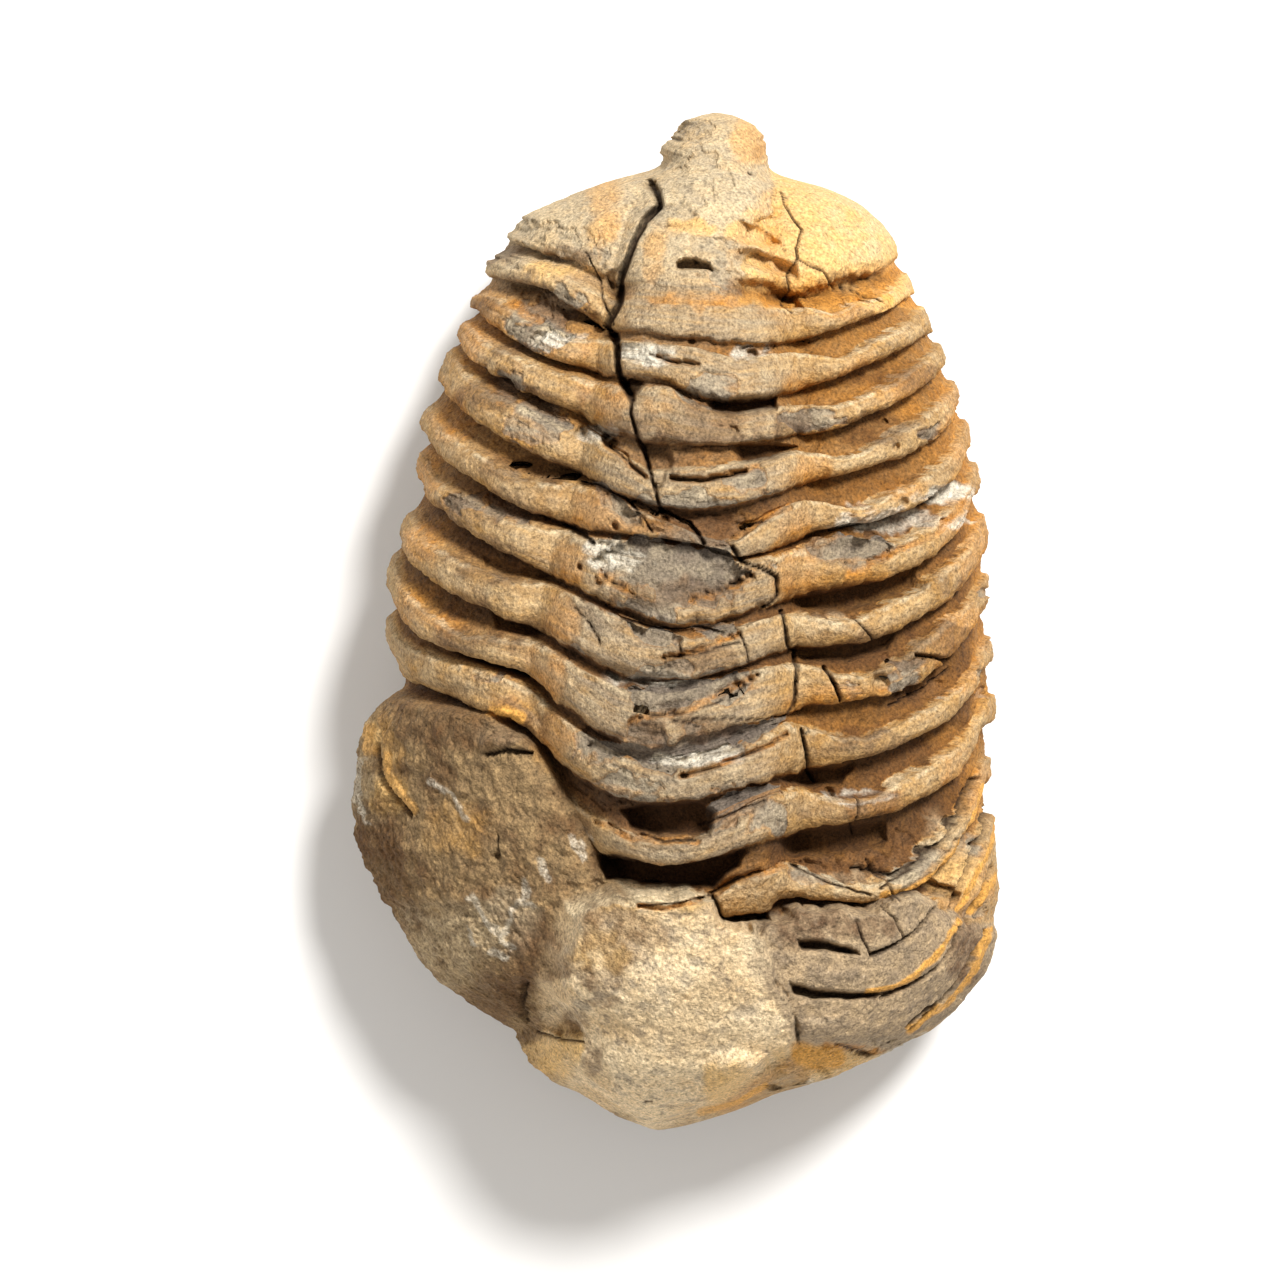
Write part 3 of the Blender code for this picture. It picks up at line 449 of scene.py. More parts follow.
# Patches of dark soil stains and painted shadow, and light patches of dust and painted light: (centre, half size).
DIRT_AND_SHADE_PATCHES = (
    ((620, 935), (44, 34)), ((540, 960), (44, 34)), ((500, 1000), (40, 34)), ((600, 975), (24, 16)),
    ((965, 955), (18, 40)), ((800, 935), (26, 22)), ((850, 925), (60, 12)), ((752, 252), (18, 7)),
    ((760, 287), (34, 10)), ((820, 291), (34, 8)), ((872, 275), (44, 7)), ((522, 286), (26, 8)),
    ((575, 314), (34, 9)), ((613, 282), (14, 26)), ((560, 250), (34, 7)), ((480, 712), (90, 14)),
    ((574, 1026), (22, 15)), ((592, 1054), (10, 26)), ((534, 1030), (12, 14)), ((570, 808), (30, 26)), ((430, 700), (50, 14)),
    ((380, 850), (22, 50)), ((940, 640), (44, 14)), ((860, 590), (70, 12)), ((870, 655), (60, 14)),
    ((930, 580), (34, 10)), ((585, 400), (12, 12)), ((505, 345), (20, 8)), ((492, 252), (22, 8)), ((508, 276), (26, 8)), ((482, 302), (16, 8)), ((505, 570), (44, 12)), ((512, 626), (42, 12)), ((540, 467), (46, 14)),
    ((470, 545), (40, 16)), ((450, 604), (40, 14)), ((690, 526), (52, 16)), ((715, 536), (30, 10)),
    ((520, 465), (50, 12)), ((760, 505), (20, 10)), ((470, 732), (70, 18)), ((600, 1000), (20, 10)), 
    ((690, 728), (60, 14)), ((880, 374), (56, 12)), ((885, 425), (60, 16)), ((880, 806), (70, 14)),
    ((880, 742), (60, 12)), ((500, 392), (50, 14)), ((470, 640), (50, 12)), ((700, 424), (90, 20)),
    ((490, 506), (70, 20)), ((870, 640), (75, 14)), ((680, 590), (70, 12)), ((700, 655), (60, 10)),
)
DUST_AND_PAINTED_LIGHT_PATCHES = (
    ((450, 945), (56, 42)), ((510, 930), (30, 36)), ((720, 960), (50, 40)), ((700, 1030), (90, 50)),
    ((368, 745), (12, 30)), ((375, 800), (20, 22)), ((547, 1056), (22, 28)), ((380, 790), (26, 30)), ((740, 940), (26, 14)),
    ((630, 1115), (60, 10)), ((700, 200), (60, 40)),
    ((840, 230), (60, 50)), ((540, 1075), (34, 20)), ((505, 735), (30, 10)), ((600, 1060), (30, 30)), ((540, 264), (60, 20)),
    ((890, 884), (70, 14)), ((956, 850), (24, 34)), ((860, 1068), (60, 18)), ((825, 620), (30, 8)),
    ((540, 215), (60, 30)),
)
# Patches where the shell is warm orange: (centre, half size).
WARM_PATCHES = (
    ((600, 395), (24, 20)), ((585, 510), (28, 22)), ((570, 560), (24, 22)), ((560, 615), (22, 26)),
    ((548, 670), (24, 28)), ((552, 735), (22, 30)), ((812, 475), (24, 24)), ((805, 535), (26, 26)),
    ((800, 590), (24, 20)), ((420, 480), (16, 30)), ((418, 540), (22, 26)), ((410, 600), (18, 26)),
    ((960, 420), (24, 40)), ((970, 540), (30, 50)), ((965, 640), (34, 50)), ((975, 760), (30, 50)),
    ((800, 250), (60, 60)), ((850, 282), (80, 26)), ((600, 205), (18, 34)), ((575, 272), (34, 12)),
    ((745, 130), (14, 26)), ((655, 250), (12, 30)), ((690, 225), (30, 8)), ((700, 300), (50, 8)),
    ((840, 300), (60, 16)), ((860, 380), (70, 20)), ((560, 270), (40, 10)),
    ((580, 345), (30, 12)), ((445, 410), (20, 30)), ((480, 310), (22, 30)), ((770, 285), (36, 22)),
    ((640, 525), (40, 10)), ((560, 1040), (26, 20)), ((740, 1085), (40, 26)), ((830, 1060), (50, 18)),
    ((750, 230), (30, 10)), ((850, 700), (60, 16)), ((870, 480), (60, 14)), ((500, 708), (30, 14)),
    ((465, 345), (20, 30)), ((430, 620), (30, 20)), ((392, 780), (18, 36)), ((960, 880), (30, 30)),
    ((850, 575), (50, 12)), ((880, 800), (50, 10)), ((650, 905), (50, 8)), ((655, 405), (16, 8)),
    ((606, 218), (14, 12)), ((750, 146), (20, 26)), ((560, 268), (50, 8)), ((770, 250), (40, 12)),
    ((547, 1056), (22, 28)), ((600, 950), (30, 20)), ((460, 830), (40, 24)), ((380, 745), (16, 30)),
)

# Sizes in points, with seeds, of the noise that makes broken edges ragged.
RAGGED_X = ((14, 11), (7, 12), (3.5, 13))
RAGGED_Y = ((14, 21), (7, 22), (3.5, 23))
# Sizes in points, shares and seeds of the noise that makes a patch an irregular blotch.
BLOTCHES = ((26, 0.45, 61), (12, 0.30, 62), (6, 0.18, 63))

RIB_ROWS = 41
TAIL_ROWS = 100
HEAD_ROWS = 130
BACK_COLUMNS = 600
BELLY_COLUMNS = 84
# The stone's pieces from the tail to the head.
PIECES = (
    "weathered_tail", "weathered_rear_ribs", "weathered_middle_ribs", "weathered_front_ribs",
    "weathered_head",
)
SHOWN_MASKS = (
    "grain", "lowered", "brink", "crack", "peel", "axis", "belly", "buried", "block", "cheek",
    "strip", "tail", "tail_shell", "shell_band", "grey", "white", "scratch", "warm", "rust", "hole",
    "dirt", "dusty", "grime", "plate", "right",
)


def linear_colour(code):
    """A linear colour with alpha from an sRGB hex code."""
    channels = [int(code[place:place + 2], 16) / 255 for place in (1, 3, 5)]
    return (*(c / 12.92 if c <= 0.04045 else ((c + 0.055) / 1.055) ** 2.4 for c in channels), 1.0)


def colour_property(name, description, code):
    return bpy.props.FloatVectorProperty(
        name=name, description=description, default=linear_colour(code),
        subtype="COLOR", size=4, min=0.0, max=1.0,
    )


def length_property(name, description, default):
    return bpy.props.FloatProperty(
        name=name, description=description, default=default, unit="LENGTH", subtype="DISTANCE",
        min=0.0, precision=5,
    )


class StoneSizes(bpy.types.PropertyGroup):
    rib_depth: length_property("Rib depth", "From a rib's crest to the groove under it", 0.0032)
    overhang: length_property("Overhang", "How far a rib hangs over its groove", 0.0005)
    wide_crack: length_property("Wide crack", "Half width of the crack across the tail", 0.00044)
    crack: length_property("Crack", "Half width of the cracks", 0.00022)
    hairline: length_property("Hairline", "Half width of the finest cracks", 0.00013)
    slot: length_property("Slot", "Half width of the slots in the broken cheek", 0.00036)
    layer: length_property("Layer", "Thickness of a layer of shell that has broken off", 0.00038)
    grain: length_property("Grain", "Height of the stone's grain", 0.00016)
    seed: bpy.props.IntProperty(name="Seed", description="Seed of the weathering", default=4)


class StoneColours(bpy.types.PropertyGroup):
    ochre: colour_property("Ochre", "The shell's usual colour", "#B28648")
    tan: colour_property("Tan", "Paler stretches of the shell", "#C09F6E")
    # Brown is the colour of soil stains and the matrix, and also painted shade in the shelves, the hollows and the
    # shadowed patches.
    brown_and_shade: colour_property("Brown", "Dirt rubbed into the shell and the shelves", "#5A3A1E")
    orange: colour_property("Orange", "Iron-stained shell in shelves and furrows", "#BA7D30")
    rust: colour_property("Rust", "The shell's orange layer at broken edges", "#B07631")
    shell_band: colour_property("Shell band", "The shell in section, between layers of stone", "#D39B4C")
    # Groove is painted shade: near-black at the bottoms of the grooves, in the cracks and in deep hollows; it also
    # darkens the stone's small specks.
    groove: colour_property("Groove", "Dirt deep in the grooves", "#2F1D0E")
    # Pale is partly rubbed stone and partly painted highlight on the crests, the ribs' upper edges and the tail, and
    # painted light in some patches.
    pale_and_highlight: colour_property("Pale", "Rubbed crests and the tail", "#D0BC98")
    tail_shell: colour_property("Tail shell", "The smooth shell on the right of the tail", "#DAAF6B")
    grey: colour_property("Grey", "Stone bared by broken shell", "#94856F")
    dark_grey: colour_property("Dark grey", "Darker stone under the next layer", "#5C5148")
    white: colour_property("White", "Crushed calcite", "#D2C8B4")
    matrix: colour_property("Matrix", "The lump of matrix", "#7B6446")
    block: colour_property("Block", "The granular block of the head", "#EBD3AC")
    cheek: colour_property("Cheek", "The broken face of the cheek", "#B69D7A")


class StageSettings(bpy.types.PropertyGroup):
    floor: colour_property("Floor", "Colour of the floor", "#F1EFEC")
    key_power: bpy.props.FloatProperty(name="Key", description="Power of the key light", default=9.2, unit="POWER")
    fill_power: bpy.props.FloatProperty(name="Fill", description="Power of the fill light", default=1.6, unit="POWER")
    sky: bpy.props.FloatProperty(name="Sky", description="Strength of the light from all around", default=0.46)


MATH = "ShaderNodeMath"
VECTOR_MATH = "ShaderNodeVectorMath"


def add_node(tree, kind, inputs=(), output=0, **settings):
    """Adds a node with its settings, links or sets its inputs by place or name, and returns one
    of its outputs, or the node where output is None."""
    node = tree.nodes.new(kind)
    for name, value in settings.items():
        setattr(node, name, value)
    for name, value in inputs.items() if isinstance(inputs, dict) else enumerate(inputs):
        if isinstance(value, bpy.types.NodeSocket):
            tree.links.new(value, node.inputs[name])
        else:
            node.inputs[name].default_value = value
    return node if output is None else node.outputs[output]


def through(points, at):
    """Straight runs between (place, value) points, read at these places."""
    places, values = zip(*points)
    return np.interp(at, places, values)


def eased(points, at, reach=5.0):
    """The same with its corners eased over this reach."""
    shifts = np.linspace(-reach, reach, 7)
    weights = 1 - np.abs(shifts) / (reach * 1.2)
    near = [weight * through(points, at + shift) for shift, weight in zip(shifts, weights)]
    return sum(near) / weights.sum()


def rims(y):
    """x of both rims, eased where they are far apart and exact at the tips."""
    tip = smooth(np.minimum(y - TAIL_Y, HEAD_Y - y) / 20)
    left = through(LEFT_RIM, y) * (1 - tip) + eased(LEFT_RIM, y) * tip
    right = through(RIGHT_RIM, y) * (1 - tip) + eased(RIGHT_RIM, y) * tip
    return left, right


def smooth(t):
    t = np.clip(t, 0, 1)
    return t * t * (3 - 2 * t)


def mound(x, y, centre, half):
    """1 at the centre, falling to 0 on the ellipse of this half size."""
    reach = ((x - centre[0]) / half[0]) ** 2 + ((y - centre[1]) / half[1]) ** 2
    return smooth(1 - reach)


def wander(x, y, size, seed):
    """Seeded noise from -1 to 1 with features of this size in points."""
    cells = int(PICTURE / size) + 3
    lattice = np.random.default_rng(seed).uniform(-1, 1, (cells, cells))
    column, row = x / size, y / size
    c, r = column.astype(int), row.astype(int)
    s, t = smooth(column - c), smooth(row - r)
    upper = lattice[r, c] * (1 - s) + lattice[r, c + 1] * s
    lower = lattice[r + 1, c] * (1 - s) + lattice[r + 1, c + 1] * s
    return upper * (1 - t) + lower * t


def distance_to_route(x, y, route, closed=False):
    """Distance in points to a route of straight runs."""
    ends = [*route[1:], route[0]] if closed else route[1:]
    nearest = np.full(x.shape, 1e6)
    for (ax, ay), (bx, by) in zip(route, ends):
        run = max((bx - ax) ** 2 + (by - ay) ** 2, 1e-6)
        along_run = np.clip(((x - ax) * (bx - ax) + (y - ay) * (by - ay)) / run, 0, 1)
        gap = np.hypot(x - ax - along_run * (bx - ax), y - ay - along_run * (by - ay))
        nearest = np.minimum(nearest, gap)
    return nearest


def depth_inside(x, y, outline):
    """Distance in points to a traced outline, positive inside it."""
    inside = np.zeros(x.shape, bool)
    for (ax, ay), (bx, by) in zip(outline, [*outline[1:], outline[0]]):
        if ay != by:
            crosses = (ay > y) != (by > y)
            inside ^= crosses & (x < ax + (y - ay) / (by - ay) * (bx - ax))
    distance = distance_to_route(x, y, outline, closed=True)
    return np.where(inside, distance, -distance)


def line_y(line, u):
    """y of a traced line at u across the back, with its corners eased."""
    x, y = (np.array(values, float) for values in zip(*line))
    left, right = through(LEFT_RIM, y), through(RIGHT_RIM, y)
    places = np.clip((2 * x - left - right) / (right - left), -1, 1)
    order = np.argsort(places)
    shifts = np.linspace(-0.018, 0.018, 9)
    return sum(np.interp(u + shift, places[order], y[order]) for shift in shifts) / len(shifts)


def line_table(u):
    """y of every traced line at each u, tail tip first and head tip last."""
    table = [np.full_like(u, TAIL_Y), line_y(GROOVES[0], u)]
    for edge, groove in zip(RIB_EDGES, GROOVES[1:]):
        table += [line_y(edge, u), line_y(groove, u)]
    table.append(np.full_like(u, HEAD_Y))
    return np.maximum.accumulate(np.array(table), axis=0)


def row_phases(share):
    """Places of the rows along the back: 0 the tail tip, 1 the first groove, and so on."""
    tail = np.linspace(0, 1, int(TAIL_ROWS * share), endpoint=False) ** 1.15
    edge_rows = np.array((-0.03, 0.0, 0.03, 0.08))
    spread = np.linspace(0.14, 1.94, int(RIB_ROWS * share) - len(edge_rows))
    ribs = [edge + place for edge in range(2, 1 + LAST_GROOVE, 2) for place in (*edge_rows, *spread)]
    ribs = [1.0, 1.25, 1.5, 1.75, *[place for place in ribs if place < LAST_GROOVE]]
    head = LAST_GROOVE + 1 - np.linspace(1, 0, int(HEAD_ROWS * share)) ** 1.15
    return np.array([*tail, *ribs, *head])


def across_places(share):
    """u of the columns round the stone, whether each is on the back, and its turn below."""
    back, belly = int(BACK_COLUMNS * share), int(BELLY_COLUMNS * share)
    column = np.arange(back + belly)
    turn = np.clip((column - back) / belly * math.pi, 0, math.pi)
    on_back = column <= back
    return np.where(on_back, -np.cos(column / back * math.pi), np.cos(turn)), on_back, turn


def axis_place(x, y):
    """0 in the left furrow, 1 in the right one."""
    left, right = eased(LEFT_FURROW, y), eased(RIGHT_FURROW, y)
    return (x - left) / (right - left)


def buried(x, y):
    """1 where the lump of matrix covers the ribs."""
    below = smooth((y - through(LUMP_TOP, x)) / LUMP_EDGE)
    return below * smooth((LUMP_REACH - x) / LUMP_EDGE)


def arch(u, y):
    """Height across the back, 1 in the middle and 0 at the rims."""
    spread = np.where(u < 0, through(LEFT_SPREAD, y), RIGHT_SPREAD)
    fullness = np.where(u < 0, through(LEFT_FULLNESS, y), RIGHT_FULLNESS)
    return np.clip(1 - np.abs(u) ** spread, 0, 1) ** fullness


def axis_height(x, y):
    place = axis_place(x, y)
    crown = np.sin(math.pi * np.clip(place, 0, 1)) ** 0.8
    furrows = np.exp(-((place / 0.09) ** 2)) + np.exp(-(((place - 1) / 0.09) ** 2))
    return through(AXIS_SHARE, y) * (AXIS_RISE * crown - FURROW_DEPTH * furrows)


def block_wall(x):
    """Width in points of the block's wall, which is a slope where it meets the lump."""
    return 8 + 46 * smooth((625 - x) / 70)


def head_height(x, y, block, cheek):
    """Blocks and lobes of the broken head, in metres over the arch."""
    height = BLOCK_RISE * smooth(block / block_wall(x))
    height = np.maximum(height, CHEEK_RISE * smooth(cheek / 12))
    for lobe in (LEFT_LOBE, RIGHT_LOBE, CHEEK_KNOB):
        height += LOBE_RISE * mound(x, y, *lobe)
    for half, rise, route in RIDGES:
        height += rise * smooth(1 - distance_to_route(x, y, route) / (half * 1.4))
    return height


def hollow_depth(x, y):
    depth = np.zeros(x.shape)
    for outline, deepest, wall in HOLLOWS:
        depth = np.maximum(depth, deepest * smooth(depth_inside(x, y, outline) / wall + 0.4))
    for pit_x, pit_y, radius, deepest in PITS:
        near = smooth((radius - np.hypot(x - pit_x, y - pit_y)) / (radius * 0.6))
        depth = np.maximum(depth, deepest * near)
    return depth


def along_routes(x, y, routes):
    """1 on each route, falling to 0 beside it over half of its half width."""
    mask = np.zeros(x.shape)
    for half, route in routes:
        mask = np.maximum(mask, smooth(2 - 1.5 * distance_to_route(x, y, route) / half))
    return mask


def patches(x, y, places, softness):
    """1 inside irregular blotches around these places, with edges of this softness."""
    mask = np.zeros(x.shape)
    for centre, half in places:
        mask = np.maximum(mask, mound(x, y, centre, (half[0] * 1.4, half[1] * 1.5)))
    broken = sum(share * wander(x, y, size, seed) for size, share, seed in BLOTCHES)
    return smooth((mask + broken * (mask > 0) - 0.2) / softness)


def stone_grid(share):
    """Positions and masks of the stone on a grid of rows and columns."""
    phase = row_phases(share)[:, None]
    u, on_back, turn = across_places(share)
    line = np.clip(phase.astype(int), 0, LAST_GROOVE)

    def y_at(table):
        column = np.arange(table.shape[1])[None, :]
        return table[line, column] + (phase - line) * (table[line + 1, column] - table[line, column])

    rim_y = y_at(line_table(np.array((-1.0, 1.0))))
    belly_y = rim_y[:, :1] + (u + 1) / 2 * (rim_y[:, 1:] - rim_y[:, :1])
    y = np.where(on_back, y_at(line_table(u)), belly_y)
    u = np.broadcast_to(u, y.shape)
    phase = np.broadcast_to(phase, y.shape)
    left, right = rims(y)
    frayed = smooth(np.minimum(y - TAIL_Y, HEAD_Y - y) / 12)
    left = left + frayed * sum(0.18 * size * wander(y, y * 0 + 8, size, 31) for size in (13, 6))
    right = right + frayed * sum(0.12 * size * wander(y, y * 0 + 8, size, 41) for size in (13, 6))
    flat_x = left + (u + 1) / 2 * (right - left)
    rim = eased(RIM, y)

    ragged = 0.3 * smooth((HEAD_Y - 42 - y) / 70)
    broken_x = flat_x + ragged * sum(size * wander(flat_x, y, size, seed) for size, seed in RAGGED_X)
    broken_y = y + ragged * sum(size * wander(flat_x, y, size, seed) for size, seed in RAGGED_Y)
    frayed_x, frayed_y = (flat_x * 2 + broken_x) / 3, (y * 2 + broken_y) / 3
    block = depth_inside(broken_x, broken_y, BLOCK)
    cheek = depth_inside(broken_x, broken_y, CHEEK)
    lean = np.where(on_back, u * np.abs(u) ** 1.5, u)
    upright = np.where(on_back, np.sqrt(np.clip(1 - lean**2, 0, 1)), 0)
    hollow = hollow_depth(frayed_x, frayed_y)
    plate = np.max([smooth(depth_inside(broken_x, broken_y, outline) / 2.5 + 0.5) for outline in PLATES], axis=0)
    rust = along_routes(frayed_x, frayed_y, [(2.8, route) for route in RUST_ROUTES])
    rise = head_height(flat_x, y, block, cheek) - hollow - PLATE_DEPTH * plate - RUST_DEPTH * rust
    rise -= 0.0013 * smooth(depth_inside(broken_x, broken_y, TAIL_SHELL) / 3) * smooth((330 - y) / 30)
    rise -= 0.0005 * smooth(depth_inside(broken_x, broken_y, BLOCK_STRIP) / 6)
    height = rim + (eased(BACK, y, 3) - rim) * arch(u, y) + axis_height(flat_x, y)
    height += rise * upright * upright
    sunk = rim * (1 - through(BELLY_SINK, y) * np.sin(turn) ** BELLY_ROUND)
    height = np.where(on_back, height, sunk)
    tucked = left + (u * (1 - BELLY_TUCK * np.sin(turn)) + 1) / 2 * (right - left)
    x = np.where(on_back, flat_x, tucked)

    scale = 1 - np.maximum(height - RIM_LEVEL, 0) / VIEW_DISTANCE
    east = EYE[0] + (x - EYE[0]) * scale - MIDDLE[0]
    south = EYE[1] + (y - EYE[1]) * scale - MIDDLE[1]
    position = np.stack((east * POINT, -south * POINT, height), axis=-1)

    place = axis_place(flat_x, y)
    on_axis = smooth(np.minimum(place, 1 - place) / 0.2)
    rib_share = through(SIDE_GROOVE_SHARE, y) * (1 - on_axis)
    rib_share += AXIS_GROOVES * through(GROOVE_SHARE, y) * on_axis
    rib_share *= (1 - buried(flat_x, y)) * (1 - smooth(np.maximum(block, cheek) / 6 + 0.4)) * (1 - 0.85 * plate)
    fade = np.where(u < 0, LEFT_RIM_FADE, RIGHT_RIM_FADE)
    rim_fade = 1 - fade * smooth(np.abs(u) * 5 - 4)
    under_fade = (1 - fade) * np.exp(-np.sin(turn) / UNDER_FADE)
    rib_share *= np.where(on_back, rim_fade, under_fade)

    ring = phase.copy()
    ring = np.where(phase < 1, through(TAIL_PLACE, phase), ring)
    ring = np.where(phase > LAST_GROOVE, LAST_GROOVE - 1 + through(HEAD_PLACE, phase - LAST_GROOVE), ring)

    strip = smooth(depth_inside(broken_x, broken_y, BLOCK_STRIP) / 3 + 0.5)
    tail_shell = smooth(depth_inside(broken_x, broken_y, TAIL_SHELL) / 3 + 0.5)
    outward = np.stack((lean, np.zeros_like(lean), upright), axis=-1)
    # Patches and lines of colour end where the stone turns under.
    seen = (1 - smooth(np.sin(turn) * 3)) * smooth((HEAD_Y - y) / 34) * smooth((y - TAIL_Y + 4) / 16)
    masks = {
        "ring": ring,
        "rib_share": rib_share,
        "right": smooth((place - 0.3) / 0.4),
        "axis": on_axis * smooth((y - 120) / 40) * smooth((900 - y) / 20),
        "buried": buried(flat_x, y) * smooth(1 - block / 20),
        "block": smooth((block + 4) / block_wall(flat_x)),
        "cheek": smooth(cheek / 6 + 0.5),
        "tail": smooth((310 - y) / 80),
        "tail_shell": tail_shell * smooth((330 - y) / 30),
        "strip": strip,
        "shell_band": seen * along_routes(frayed_x, frayed_y, SHELL_BANDS),
        "grey": seen * np.maximum(plate, patches(broken_x, broken_y, GREY_PATCHES, 0.8)),
        "plate": plate * seen,
        "white": seen * patches(broken_x, broken_y, WHITE_PATCHES, 0.6),
        "scratch": seen * along_routes(broken_x, broken_y, [(3.4, route) for route in SCRATCHES]),
        "warm": seen * patches(broken_x, broken_y, WARM_PATCHES, 1.0),
        # The dark patches hold painted shadow as well as soil stains, and the light patches painted light as well as
        # dust.
        "dirt": seen * patches(broken_x, broken_y, DIRT_AND_SHADE_PATCHES, 0.8),
        "dusty": seen * patches(broken_x, broken_y, DUST_AND_PAINTED_LIGHT_PATCHES, 1.0),
        # Share of the painted shade in the grooves, and of dark grey on the axis, from the tail to the head.
        "grime": through(GROOVE_SHADE_AND_AXIS_GREY, y),
        "rust": seen * rust,
        # Painted shade and a brownish floor in the deep hollows, darker the deeper they are.
        "hole": smooth((hollow - 0.0018) / 0.0022),
        "belly": np.broadcast_to(np.where(on_back, 0, smooth(np.sin(turn) * 3)), y.shape),
    }
    flat = np.stack((flat_x * POINT, y * POINT, np.zeros_like(y)), axis=-1)
    middle = np.broadcast_to(y_at(line_table(np.array((0.0,)))), y.shape)
    grain = np.stack((flat_x * POINT, middle * POINT, np.zeros_like(y)), axis=-1)
    return position, {"outward": outward, "flat": flat, "grain": grain}, masks


def roughen(places):
    """The slow seeded roughness of the whole stone, stronger on the belly."""
    centre = places.mean(axis=0)
    outward = places - centre
    outward /= np.maximum(np.linalg.norm(outward, axis=1), 1e-6)[:, None]
    size = ROUGHNESS_HEIGHT + BELLY_LUMPS * smooth((RIM_LEVEL - places[:, 2]) / RIM_LEVEL * 2)
    lumps = np.array([noise.noise(place) for place in (places / LUMP_SIZE).tolist()])
    return places + outward * (size * lumps)[:, None]


def closed_grid(name, points, columns):
    """A closed mesh from a first point, rings of this many points each, and a last point."""
    last = len(points) - 1
    ring = np.arange(1, last).reshape(-1, columns)
    beside = np.roll(ring, -1, axis=1)
    quads = np.stack((ring[:-1], ring[1:], beside[1:], beside[:-1]), axis=-1).reshape(-1, 4)
    first_fan = [(0, one, other) for one, other in zip(ring[0].tolist(), beside[0].tolist())]
    last_fan = [(last, other, one) for one, other in zip(ring[-1].tolist(), beside[-1].tolist())]
    mesh = bpy.data.meshes.new(name)
    mesh.from_pydata(points.tolist(), [], [*first_fan, *map(tuple, quads.tolist()), *last_fan])
    return mesh


def give_attribute(mesh, name, values):
    """Stores a number or a vector for each point."""
    kind, field = ("FLOAT_VECTOR", "vector") if values.ndim == 2 else ("FLOAT", "value")
    mesh.attributes.new(name, kind, "POINT").data.foreach_set(field, values.astype(float).ravel())


def take_attribute(mesh, name):
    attribute = mesh.attributes[name]
    wide, field = (3, "vector") if attribute.data_type == "FLOAT_VECTOR" else (1, "value")
    values = np.empty(len(mesh.vertices) * wide)
    attribute.data.foreach_get(field, values)
    return values.reshape(-1, 3) if wide == 3 else values


def dense_stone(share):
    """The stone's form as a closed grid from the tail tip to the head tip, with its masks."""
    position, vectors, masks = stone_grid(share)

    def listed(grid):
        return np.concatenate((grid[0, :1], grid[1:-1].reshape(-1, *grid.shape[2:]), grid[-1, :1]))

    mesh = closed_grid("stone_form", roughen(listed(position)), position.shape[1])
    for name, values in (*vectors.items(), *masks.items()):
        give_attribute(mesh, name, listed(values))
    stone = bpy.data.objects.new("stone_form", mesh)
    bpy.context.scene.collection.objects.link(stone)
    return stone, position.shape[1]


def stone_pieces(whole, columns):
    """The stone in pieces of fewer triangles, closed inside it and shaded as the whole is."""
    places = np.empty(len(whole.vertices) * 3)
    whole.vertices.foreach_get("co", places)
    places = places.reshape(-1, 3)
    places[:, 2] = np.maximum(places[:, 2], 0.0)
    whole.vertices.foreach_set("co", places.ravel())
    normals = np.empty(len(whole.vertices) * 3)
    whole.vertex_normals.foreach_get("vector", normals)
    normals = normals.reshape(-1, 3)
    kept = {name: take_attribute(whole, name) for name in SHOWN_MASKS}
    rings = (len(places) - 2) // columns
    cuts = np.linspace(0, rings, len(PIECES) + 1).astype(int)
    pieces = []
    for name, start, end in zip(PIECES, cuts[:-1], cuts[1:]):
        end = min(end + 1, rings)
        first, last = 1 + start * columns, 1 + end * columns

        def section(values):
            # The end points are the stone's own tips, or the middle of the ring where it is cut.
            before = values[0] if start == 0 else values[first:first + columns].mean(axis=0)
            after = values[-1] if end == rings else values[last - columns:last].mean(axis=0)
            return np.concatenate((before[None], values[first:last], after[None]))

        mesh = closed_grid(name, section(places), columns)
        for mask, values in kept.items():
            give_attribute(mesh, mask, section(values))
        mesh.shade_smooth()
        mesh.normals_split_custom_set_from_vertices(section(normals).tolist())
        mesh.materials.append(whole.materials[0])
        piece = bpy.data.objects.new(name, mesh)
        bpy.context.scene.collection.objects.link(piece)
        pieces.append(piece)
    return pieces


def route_lines(name, routes):
    """Routes as loose edges in the flat tracing, in metres."""
    points, edges = [], []
    for route in routes:
        edges += [(len(points) + i, len(points) + i + 1) for i in range(len(route) - 1)]
        points += [(x * POINT, y * POINT, 0) for x, y in route]
    mesh = bpy.data.meshes.new(name)
    mesh.from_pydata(points, edges, [])
    lines = bpy.data.objects.new(name, mesh)
    bpy.context.scene.collection.objects.link(lines)
    return lines


STONE_INPUTS = (
    ("Rib Depth", "NodeSocketFloat"), ("Overhang", "NodeSocketFloat"), ("Grain", "NodeSocketFloat"),
    ("Wide Crack", "NodeSocketFloat"), ("Crack", "NodeSocketFloat"), ("Hairline", "NodeSocketFloat"),
    ("Slot", "NodeSocketFloat"), ("Layer", "NodeSocketFloat"), ("Wide Crack Lines", "NodeSocketObject"),
    ("Crack Lines", "NodeSocketObject"), ("Hairline Lines", "NodeSocketObject"),
    ("Slot Lines", "NodeSocketObject"), ("Seed", "NodeSocketFloat"), ("Material", "NodeSocketMaterial"),
)
# Depth of a crack as a multiple of its half width.
CRACK_DEPTHS = {"Wide Crack": 6.0, "Crack": 6.0, "Hairline": 4.0, "Slot": 2.0}


def set_curve(curve_node, profile):
    """Gives a Float Curve node these points, joined by straight runs."""
    curve = curve_node.mapping.curves[0]
    curve.points[0].location = profile[0]
    curve.points[-1].location = profile[-1]
    for place in profile[1:-1]:
        curve.points.new(*place)
    for point in curve.points:
        point.handle_type = "VECTOR"
    curve_node.mapping.update()


